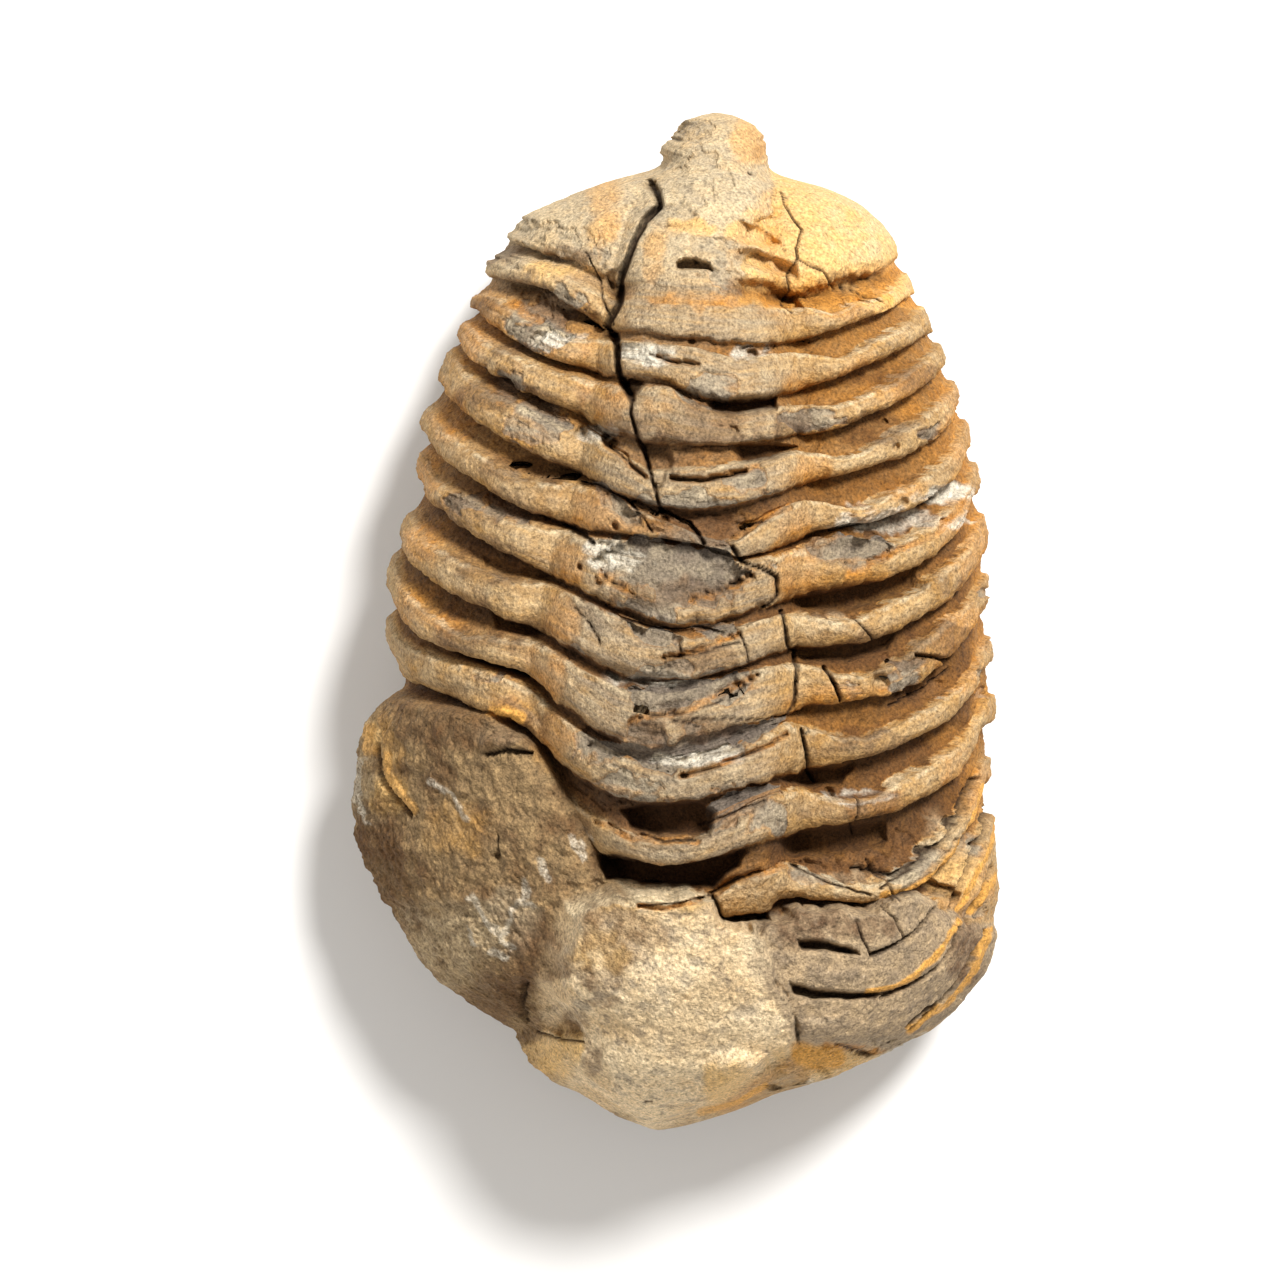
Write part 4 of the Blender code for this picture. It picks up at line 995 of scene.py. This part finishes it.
def cloud(tree, place, size, seed, detail=3.0, stretch=(1, 1, 1)):
    """Noise about 0, from -0.5 to 0.5, with features of this size in metres."""
    scaled = add_node(tree, VECTOR_MATH, (place, tuple(s / size for s in stretch)), operation="MULTIPLY")
    noise_value = add_node(
        tree, "ShaderNodeTexNoise", {"Vector": scaled, "W": seed, "Scale": 1.0, "Detail": detail, "Roughness": 0.62},
        noise_dimensions="4D",
    )
    return add_node(tree, MATH, (noise_value, 0.5), operation="SUBTRACT")


def cut_ribs(tree, geometry, group, place, masks):
    """Cuts the grooves between the ribs, with ragged edges and a slightly different depth each."""
    ragged = cloud(tree, place, 0.0022, group["Seed"], 4.0)
    coarse = cloud(tree, place, 0.007, group["Seed"], 2.0)
    ring = add_node(tree, MATH, (coarse, 0.32, masks["ring"]), operation="MULTIPLY_ADD")
    ring = add_node(tree, MATH, (ragged, 0.42, ring), operation="MULTIPLY_ADD")
    halved = add_node(tree, MATH, (ring, 0.5), operation="MULTIPLY")
    phase = add_node(tree, MATH, (halved,), operation="FRACT")
    number = add_node(tree, MATH, (halved,), operation="FLOOR")
    left, right, axis, overhang = (
        add_node(tree, "ShaderNodeFloatCurve", {"Value": phase}) for _ in range(4)
    )
    set_curve(left.node, LEFT_PROFILE)
    set_curve(right.node, RIGHT_PROFILE)
    set_curve(axis.node, AXIS_PROFILE)
    set_curve(overhang.node, OVERHANG_PROFILE)
    side = add_node(tree, "ShaderNodeMix", {0: masks["right"], 2: left, 3: right})
    height = add_node(tree, "ShaderNodeMix", {0: masks["axis"], 2: side, 3: axis})
    number = add_node(tree, MATH, (number, group["Seed"]), operation="ADD")
    chance = add_node(tree, "ShaderNodeTexWhiteNoise", {"W": number}, noise_dimensions="1D")
    own_share = add_node(tree, MATH, (chance, 0.24, 0.88), operation="MULTIPLY_ADD")
    share = add_node(tree, MATH, (masks["rib_share"], own_share), operation="MULTIPLY")
    depth = add_node(tree, MATH, (group["Rib Depth"], share), operation="MULTIPLY")
    lowered = add_node(tree, MATH, (1.0, height), operation="SUBTRACT")
    drop = add_node(tree, MATH, (lowered, depth), operation="MULTIPLY")
    drop = add_node(tree, MATH, (drop, -1.0), operation="MULTIPLY")
    offset = add_node(tree, VECTOR_MATH, {0: masks["outward"], "Scale": drop}, operation="SCALE")
    hang = add_node(tree, MATH, (overhang, group["Overhang"]), operation="MULTIPLY")
    hang = add_node(tree, MATH, (hang, masks["rib_share"]), operation="MULTIPLY")
    south = add_node(tree, VECTOR_MATH, {0: (0.0, -1.0, 0.0), "Scale": hang}, operation="SCALE")
    offset = add_node(tree, VECTOR_MATH, (offset, south), operation="ADD")
    geometry = add_node(tree, "GeometryNodeSetPosition", {"Geometry": geometry, "Offset": offset})
    # The upper edge of each rib, which the material paints light: a painted highlight where the edge faces the lamp,
    # partly a worn edge.
    brink = add_node(tree, MATH, (phase, 0.035), operation="SUBTRACT")
    brink = add_node(tree, MATH, (brink,), operation="ABSOLUTE")
    brink = add_node(tree, "ShaderNodeMapRange", (brink, 0.02, 0.05, masks["rib_share"], 0.0))
    geometry = add_node(
        tree, "GeometryNodeStoreNamedAttribute", {"Geometry": geometry, "Name": "brink", "Value": brink},
        data_type="FLOAT", domain="POINT",
    )
    # How far down its rib a point lies; the material darkens the shelves and grooves by it with painted shade.
    shown = add_node(tree, "ShaderNodeMapRange", (masks["rib_share"], 0.0, 0.5, 0.0, lowered))
    return add_node(
        tree, "GeometryNodeStoreNamedAttribute", {"Geometry": geometry, "Name": "lowered", "Value": shown},
        data_type="FLOAT", domain="POINT",
    )


def cut_cracks(tree, geometry, group, place, masks):
    """Cuts every route of cracks into the surface, wandering a little."""
    east = cloud(tree, place, 0.0020, group["Seed"])
    south = cloud(tree, place, 0.0017, group["Seed"])
    drift = add_node(tree, "ShaderNodeCombineXYZ", (east, south))
    # The cracks wander less where the surface falls away, as there a small step is drawn out long.
    level = add_node(tree, "ShaderNodeSeparateXYZ", (masks["outward"],), "Z")
    swing = add_node(tree, MATH, (level, level), operation="MULTIPLY")
    swing = add_node(tree, MATH, (swing, 0.0006), operation="MULTIPLY")
    drift = add_node(tree, VECTOR_MATH, {0: drift, "Scale": swing}, operation="SCALE")
    flat = add_node(tree, VECTOR_MATH, (masks["flat"], drift), operation="ADD")
    width = add_node(tree, MATH, (cloud(tree, place, 0.0025, group["Seed"]), 1.5, 1.3), operation="MULTIPLY_ADD")
    deepest, shade = 0.0, 0.0
    for kind, times in CRACK_DEPTHS.items():
        lines = add_node(tree, "GeometryNodeObjectInfo", {"Object": group[f"{kind} Lines"]}, "Geometry")
        distance = add_node(
            tree, "GeometryNodeProximity", {"Geometry": lines, "Sample Position": flat}, "Distance",
            target_element="EDGES",
        )
        core = add_node(tree, MATH, (group[kind], 0.3), operation="MULTIPLY")
        brink = add_node(tree, MATH, (group[kind], width), operation="MULTIPLY")
        inside = add_node(
            tree, "ShaderNodeMapRange", (distance, core, brink, 1.0, 0.0), interpolation_type="SMOOTHSTEP"
        )
        depth = add_node(tree, MATH, (group[kind], -times), operation="MULTIPLY")
        depth = add_node(tree, MATH, (depth, inside), operation="MULTIPLY")
        deepest = add_node(tree, MATH, (depth, deepest), operation="MINIMUM")
        shade = add_node(tree, MATH, (inside, shade), operation="MAXIMUM")
    above = add_node(tree, MATH, (1.0, masks["belly"]), operation="SUBTRACT")
    deepest = add_node(tree, MATH, (deepest, above), operation="MULTIPLY")
    shade = add_node(tree, MATH, (shade, above), operation="MULTIPLY")
    offset = add_node(tree, VECTOR_MATH, {0: masks["outward"], "Scale": deepest}, operation="SCALE")
    geometry = add_node(tree, "GeometryNodeSetPosition", {"Geometry": geometry, "Offset": offset})
    # How far inside a crack a point lies, which the material paints near-black as the crack's shade.
    return add_node(
        tree, "GeometryNodeStoreNamedAttribute", {"Geometry": geometry, "Name": "crack", "Value": shade},
        data_type="FLOAT", domain="POINT",
    )


def peel_shell(tree, geometry, group, place, masks):
    """Breaks off thin layers of shell in patches with sharp edges, drawn out along the ribs."""
    flakes = cloud(tree, masks["grain"], 0.0050, group["Seed"], 5.0, (0.30, 1.3, 1.0))
    covered = add_node(tree, MATH, (masks["buried"], masks["belly"]), operation="MAXIMUM")
    peel = add_node(tree, MATH, (flakes, 2.3, -0.10), operation="MULTIPLY_ADD")
    for where, share in ((masks["grey"], 0.62), (masks["white"], 0.45), (masks["warm"], -0.30), (covered, -1.5),
                         (masks["tail_shell"], -0.8), (masks["axis"], 0.12), (masks["block"], -0.5)):
        peel = add_node(tree, MATH, (where, share, peel), operation="MULTIPLY_ADD")
    height = 0.0
    for level in (0.36, 0.62, 0.90):
        step = add_node(
            tree, "ShaderNodeMapRange", (peel, level - 0.015, level + 0.015, 0.0, -1.0),
            interpolation_type="SMOOTHSTEP",
        )
        height = add_node(tree, MATH, (height, step), operation="ADD")
    height = add_node(tree, MATH, (height, group["Layer"]), operation="MULTIPLY")
    offset = add_node(tree, VECTOR_MATH, {0: masks["outward"], "Scale": height}, operation="SCALE")
    geometry = add_node(tree, "GeometryNodeSetPosition", {"Geometry": geometry, "Offset": offset})
    return add_node(
        tree, "GeometryNodeStoreNamedAttribute", {"Geometry": geometry, "Name": "peel", "Value": peel},
        data_type="FLOAT", domain="POINT",
    )


def add_grain(tree, geometry, group, place, masks):
    """Adds lumps, fibres along the ribs, granules on the matrix, and the finest grain."""
    seed = group["Seed"]
    fibres = cloud(tree, masks["grain"], 0.0008, seed, 5.0, (0.16, 1.4, 1.0))
    lumps = cloud(tree, place, 0.0040, seed)
    knolls = cloud(tree, place, 0.0100, seed)
    granules = cloud(tree, place, 0.0012, seed, 5.0)
    specks = cloud(tree, place, 0.0005, seed, 2.0)
    covered = add_node(tree, MATH, (masks["buried"], masks["belly"]), operation="MAXIMUM")
    blocks = add_node(tree, MATH, (masks["block"], masks["cheek"]), operation="MAXIMUM")
    height = 0.0
    for relief, where, times in (
        (lumps, 1.0, 3.6), (specks, 1.0, 1.9), (granules, 1.0, 1.8), (fibres, 1.0, 2.8),
        (fibres, masks["axis"], 2.6), (fibres, masks["grey"], 3.0), (granules, covered, 9.5),
        (knolls, covered, 12.0), (knolls, blocks, 3.2), (granules, blocks, 4.2),
        (granules, masks["white"], 7.0), (fibres, masks["white"], 6.0), (fibres, masks["tail"], 2.6),
        (lumps, masks["tail"], -1.4),
    ):
        layer = add_node(tree, MATH, (relief, where), operation="MULTIPLY")
        height = add_node(tree, MATH, (layer, times, height), operation="MULTIPLY_ADD")
    worn = add_node(tree, MATH, (masks["tail_shell"], -0.7, 1.0), operation="MULTIPLY_ADD")
    height = add_node(tree, MATH, (height, worn), operation="MULTIPLY")
    height = add_node(tree, MATH, (height, group["Grain"]), operation="MULTIPLY")
    offset = add_node(tree, VECTOR_MATH, {0: masks["outward"], "Scale": height}, operation="SCALE")
    return add_node(tree, "GeometryNodeSetPosition", {"Geometry": geometry, "Offset": offset})


def stone_tree():
    """The tree that turns the smooth form into weathered stone."""
    tree = bpy.data.node_groups.new("weathered_stone", "GeometryNodeTree")
    tree.interface.new_socket("Geometry", in_out="INPUT", socket_type="NodeSocketGeometry")
    for name, kind in STONE_INPUTS:
        tree.interface.new_socket(name, in_out="INPUT", socket_type=kind)
    tree.interface.new_socket("Geometry", in_out="OUTPUT", socket_type="NodeSocketGeometry")
    group = add_node(tree, "NodeGroupInput", output=None).outputs
    place = add_node(tree, "GeometryNodeInputPosition")
    masks = {
        name: add_node(
            tree, "GeometryNodeInputNamedAttribute", {"Name": name},
            data_type="FLOAT_VECTOR" if name in ("outward", "flat", "grain") else "FLOAT",
        )
        for name in ("outward", "flat", "grain", "ring", "rib_share", "axis", "right", "belly",
                     "buried", "block", "cheek", "grey", "white", "warm", "tail", "tail_shell")
    }
    geometry = cut_ribs(tree, group["Geometry"], group, place, masks)
    geometry = cut_cracks(tree, geometry, group, place, masks)
    geometry = peel_shell(tree, geometry, group, place, masks)
    geometry = add_grain(tree, geometry, group, place, masks)
    whole = add_node(tree, "GeometryNodeRealizeInstances", {"Geometry": geometry})
    dressed = add_node(tree, "GeometryNodeSetMaterial", {"Geometry": whole, "Material": group["Material"]})
    add_node(tree, "NodeGroupOutput", (dressed,), None)
    return tree


def evaluated_mesh(piece):
    """A plain mesh of the piece with its modifiers applied."""
    graph = bpy.context.evaluated_depsgraph_get()
    mesh = bpy.data.meshes.new_from_object(piece.evaluated_get(graph), depsgraph=graph)
    mesh.name = piece.name
    return mesh


def stone_material(colours):
    """Weathered limestone with fossil shell: dry, matt and grainy, ochre where the iron-stained shell is left, grey
    where it is broken off, darkened with painted shade deep in the grooves, hollows and cracks over their own soil
    stains, and lightened with painted highlights on the crests and the ribs' upper edges."""
    material = bpy.data.materials.new("weathered_fossil_limestone")
    material.use_nodes = True
    tree = material.node_tree
    shader = tree.nodes["Principled BSDF"]
    place = add_node(tree, "ShaderNodeTexCoord", output="Object")
    along = add_node(tree, "ShaderNodeAttribute", output="Vector", attribute_name="grain")
    masks = {
        name: add_node(tree, "ShaderNodeAttribute", output="Fac", attribute_name=name)
        for name in SHOWN_MASKS
    }

    def spread(value, low, high):
        return add_node(tree, "ShaderNodeMapRange", (value, low, high, 0.0, 1.0))

    def both(share, other):
        return add_node(tree, MATH, (share, other), operation="MULTIPLY")

    broad = spread(cloud(tree, place, 0.0060, 0.0, 4.0), -0.12, 0.12)
    patchy = spread(cloud(tree, place, 0.0018, 1.0, 6.0), -0.15, 0.15)
    fine = spread(cloud(tree, place, 0.00040, 2.0, 3.0), -0.22, 0.22)
    specks = add_node(tree, "ShaderNodeTexVoronoi", {"Vector": place, "Scale": 1000 / 1.1, "Randomness": 1.0})
    specks = both(spread(specks, 0.30, 0.12), spread(patchy, 0.35, 0.75))
    streaks = spread(cloud(tree, along, 0.0010, 3.0, 5.0, (0.16, 1.3, 1.0)), -0.15, 0.15)
    lowered, peel = masks["lowered"], masks["peel"]
    covered = add_node(tree, MATH, (masks["buried"], masks["belly"]), operation="MAXIMUM")
    shell = add_node(tree, MATH, (1.0, covered), operation="SUBTRACT")
    edge = both(both(spread(peel, 0.26, 0.33), spread(peel, 0.48, 0.40)), shell)
    bared = both(spread(peel, 0.34, 0.40), shell)
    deeper = both(spread(peel, 0.60, 0.66), shell)
    colours = {
        name: tuple(getattr(colours, name))
        for name in colours.bl_rna.properties.keys() if name not in ("rna_type", "name")
    }
    colour = colours["ochre"]
    for share, layer in (
        (both(broad, 0.7), "tan"),
        (both(streaks, 0.40), "brown_and_shade"),
        (both(both(masks["axis"], spread(streaks, -0.2, 1.0)), 0.72), "grey"),
        # Dark grey on the axis, stronger towards the head, by the same share as the painted groove shade.
        (both(both(masks["axis"], both(broad, masks["grime"])), 0.45), "dark_grey"),
        (both(bared, spread(patchy, -0.5, 0.3)), "grey"),
        (both(both(bared, broad), 0.6), "dark_grey"),
        (both(masks["warm"], spread(patchy, -0.4, 0.8)), "orange"),
        (both(both(deeper, streaks), 0.8), "dark_grey"),
        (both(both(masks["plate"], spread(patchy, -0.7, 0.7)), 0.85), "dark_grey"),
        (both(edge, 0.35), "rust"),
        (both(both(spread(masks["right"], 1.4, -0.6), streaks), 0.4), "grey"),
        (both(both(spread(lowered, 0.40, 0.60), spread(patchy, -0.6, 1.2)),
              both(shell, spread(masks["right"], -0.8, 1.0))), "orange"),
        # Soil stains and painted shade, darker deeper in the shelves and grooves.
        (both(both(spread(lowered, 0.46, 0.72), spread(broad, -1.2, 0.6)), both(shell, masks["grime"])), "brown_and_shade"),
        # Painted highlight on the tail, partly its own light stone.
        (both(both(masks["tail"], spread(peel, 0.8, 0.3)), 0.72), "pale_and_highlight"),
        (both(both(masks["tail"], streaks), 0.75), "grey"),
        (both(both(masks["tail"], spread(broad, 0.4, 1.0)), 0.5), "tan"),
        (both(both(masks["tail"], spread(patchy, 0.45, 1.1)), 0.7), "ochre"),
        (both(both(masks["tail"], masks["warm"]), both(spread(patchy, -0.5, 0.9), 0.85)), "shell_band"),
        (both(both(masks["tail"], masks["warm"]), both(streaks, 0.5)), "orange"),
        (both(masks["tail_shell"], 0.9), "tail_shell"),
        (both(both(masks["tail_shell"], masks["warm"]), both(spread(broad, -1.0, 0.6), 0.9)), "shell_band"),
        (both(both(masks["tail_shell"], spread(lowered, 0.1, 0.5)), 0.9), "orange"),
        # Painted highlight on the crests of the ribs, partly rubbed stone.
        (both(both(spread(lowered, 0.10, 0.0), patchy), 0.42), "pale_and_highlight"),
        (both(masks["white"], spread(streaks, 0.1, 0.7)), "white"),
        # Painted highlight along the ribs' upper edges, partly worn.
        (both(both(masks["brink"], spread(patchy, 0.2, 0.8)), 0.7), "pale_and_highlight"),
        (masks["block"], "block"),
        (both(masks["block"], both(spread(broad, 0.3, 0.8), 0.4)), "ochre"),
        (both(masks["block"], both(patchy, 0.5)), "tan"),
        (both(masks["block"], both(spread(patchy, 0.45, 0.15), 0.5)), "dark_grey"),
        (both(masks["block"], both(masks["warm"], 0.7)), "tail_shell"),
        (both(masks["strip"], 0.8), "pale_and_highlight"),
        (both(masks["cheek"], 0.9), "cheek"),
        (both(both(masks["cheek"], patchy), 0.6), "dark_grey"),
        (both(both(masks["cheek"], spread(fine, 0.9, 1.3)), 0.8), "white"),
        (covered, "matrix"),
        (both(covered, both(patchy, 0.5)), "tan"),
        (both(covered, both(spread(broad, 0.4, 1.0), 0.6)), "brown_and_shade"),
        (both(both(covered, masks["warm"]), both(spread(patchy, -0.5, 0.9), 0.75)), "ochre"),
        # Dust, and painted light on places that face away from the lamps.
        (both(both(masks["dusty"], spread(patchy, -0.3, 0.9)), 0.5), "pale_and_highlight"),
        (both(both(masks["dusty"], masks["warm"]), 0.7), "tail_shell"),
        # Soil stains, and painted shadows in valleys, beside the lobes and on shaded shelves.
        (both(both(masks["dirt"], spread(patchy, -0.5, 0.9)), 0.72), "brown_and_shade"),
        (both(both(masks["scratch"], spread(fine, -0.2, 0.9)), 0.7), "white"),
        (both(both(masks["shell_band"], spread(shell, -1.0, 1.0)), spread(patchy, -0.6, 0.3)), "shell_band"),
        (both(masks["rust"], spread(patchy, 0.0, 1.0)), "rust"),
        # Painted shade, near-black, at the bottoms of the grooves under the ribs.
        (both(spread(lowered, 0.80, 1.0), both(masks["grime"], 0.7)), "groove"),
        # Brownish floors and painted shade in the deep hollows, darker the deeper they are.
        (both(masks["hole"], 0.7), "brown_and_shade"),
        (both(masks["hole"], 0.4), "groove"),
        (both(specks, 0.4), "groove"),
        # Painted shade, near-black, in the cracks.
        (both(masks["crack"], 0.92), "groove"),
    ):
        colour = add_node(
            tree, "ShaderNodeMix", {0: share, 6: colour, 7: colours[layer]}, 2, data_type="RGBA"
        )
    # The fine noise lowers the bump and darkens the colour together, so the grain's pits carry painted shade as well
    # as their own tone.
    finest = spread(cloud(tree, place, 0.00026, 5.0, 2.0), -0.22, 0.22)
    fine = add_node(tree, "ShaderNodeMix", {0: 0.5, 2: fine, 3: finest})
    grain = add_node(tree, "ShaderNodeMapRange", (fine, 0.15, 0.85, 0.42, 1.50))
    colour = add_node(tree, VECTOR_MATH, {0: colour, "Scale": grain}, operation="SCALE")
    tree.links.new(colour, shader.inputs["Base Color"])
    shader.inputs["Roughness"].default_value = 0.86
    shader.inputs["Specular IOR Level"].default_value = 0.25
    relief = add_node(tree, MATH, (fine, 0.5, patchy), operation="MULTIPLY_ADD")
    bump = add_node(tree, "ShaderNodeBump", {"Strength": 0.9, "Distance": 0.00028, "Height": relief})
    tree.links.new(bump, shader.inputs["Normal"])
    return material


class FOSSIL_OT_stone(bpy.types.Operator):
    """Builds the weathered trilobite in place of its plain solid"""

    bl_idname = "fossil.stone"
    bl_label = "Trilobite"

    def execute(self, context):
        sizes, colours = context.scene.fossil_sizes, context.scene.fossil_colours
        stone, columns = dense_stone(1.0)
        lines = {
            "Wide Crack Lines": route_lines("wide_crack_lines", WIDE_CRACKS),
            "Crack Lines": route_lines("crack_lines", CRACKS),
            "Hairline Lines": route_lines("hairline_lines", HAIRLINES),
            "Slot Lines": route_lines("slot_lines", SLOTS),
        }
        values = {
            "Rib Depth": sizes.rib_depth, "Overhang": sizes.overhang, "Grain": sizes.grain,
            "Wide Crack": sizes.wide_crack, "Crack": sizes.crack, "Hairline": sizes.hairline,
            "Slot": sizes.slot, "Layer": sizes.layer, "Seed": float(sizes.seed), "Material": stone_material(colours), **lines,
        }
        weather = stone.modifiers.new("weather", "NODES")
        weather.node_group = stone_tree()
        for socket in weather.node_group.interface.items_tree:
            if socket.in_out == "INPUT" and socket.name in values:
                weather[socket.identifier] = values[socket.name]
        pieces = stone_pieces(evaluated_mesh(stone), columns)
        if sum(len(piece.data.polygons) for piece in pieces) < len(stone.data.polygons):
            raise RuntimeError("faces of the stone are missing")
        for helper in (stone, *lines.values()):
            bpy.data.objects.remove(helper, do_unlink=True)
        for piece in pieces:
            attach(piece, "root")
            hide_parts(NODE)
        return {"FINISHED"}


class FOSSIL_OT_stage(bpy.types.Operator):
    """Lays the pale floor and sets the light and the camera"""

    bl_idname = "fossil.stage"
    bl_label = "Stage"

    def execute(self, context):
        settings = context.scene.fossil_stage
        bpy.ops.mesh.primitive_plane_add(size=4.0, location=(0, 0, 0))
        floor = context.object
        floor.name = "floor"
        paper = bpy.data.materials.new("matt_white_paper")
        paper.use_nodes = True
        shader = paper.node_tree.nodes["Principled BSDF"]
        shader.inputs["Base Color"].default_value = settings.floor
        shader.inputs["Roughness"].default_value = 0.9
        floor.data.materials.append(paper)
        for name, place, size, power in (
            ("key", (0.24, 0.37, 0.66), 0.18, settings.key_power),
            ("fill", (-0.4, -0.4, 0.6), 0.6, settings.fill_power),
        ):
            light = bpy.data.lights.new(name, "AREA")
            light.shape = "DISK"
            light.size = size
            light.energy = power
            lamp = bpy.data.objects.new(name, light)
            lamp.location = place
            aim = Vector((0, 0, 0.02)) - Vector(place)
            lamp.rotation_euler = aim.to_track_quat("-Z", "Y").to_euler()
            context.scene.collection.objects.link(lamp)
        world = bpy.data.worlds.new("studio_air")
        world.use_nodes = True
        sky = world.node_tree.nodes["Background"]
        sky.inputs["Color"].default_value = (1.0, 0.98, 0.95, 1.0)
        sky.inputs["Strength"].default_value = settings.sky
        context.scene.world = world
        context.scene.view_settings.view_transform = "Standard"
        camera = bpy.data.objects.new("camera", bpy.data.cameras.new("camera"))
        east, north = (EYE - MIDDLE) * POINT * np.array((1, -1))
        camera.location = (east, north, RIM_LEVEL + VIEW_DISTANCE)
        camera.data.sensor_width = 36.0
        camera.data.lens = 36.0 * VIEW_DISTANCE / (PICTURE * POINT)
        camera.data.clip_start = 0.01
        context.scene.collection.objects.link(camera)
        context.scene.camera = camera
        return {"FINISHED"}


class FOSSIL_PT_sidebar(bpy.types.Panel):
    """Lists the fossil's operators and their settings"""

    bl_idname = "FOSSIL_PT_sidebar"
    bl_label = "Fossil"
    bl_space_type = "VIEW_3D"
    bl_region_type = "UI"
    bl_category = "Fossil"

    def draw(self, context):
        layout = self.layout
        for group, operator in (
            ("fossil_sizes", "fossil.stone"),
            ("fossil_colours", None),
            ("fossil_stage", "fossil.stage"),
        ):
            box = layout.box()
            settings = getattr(context.scene, group)
            for name in settings.bl_rna.properties.keys():
                if name not in ("rna_type", "name"):
                    box.prop(settings, name)
            if operator:
                box.operator(operator)


CLASSES = (StoneSizes, StoneColours, StageSettings, FOSSIL_OT_stone, FOSSIL_OT_stage, FOSSIL_PT_sidebar)


def register():
    for item in CLASSES:
        bpy.utils.register_class(item)
    bpy.types.Scene.fossil_sizes = bpy.props.PointerProperty(type=StoneSizes)
    bpy.types.Scene.fossil_colours = bpy.props.PointerProperty(type=StoneColours)
    bpy.types.Scene.fossil_stage = bpy.props.PointerProperty(type=StageSettings)


def unregister():
    del bpy.types.Scene.fossil_sizes
    del bpy.types.Scene.fossil_colours
    del bpy.types.Scene.fossil_stage
    for item in reversed(CLASSES):
        bpy.utils.unregister_class(item)


def main():
    register()
    bpy.ops.fossil.stone()
    bpy.ops.fossil.stage()


if __name__ == "__main__":
    main()
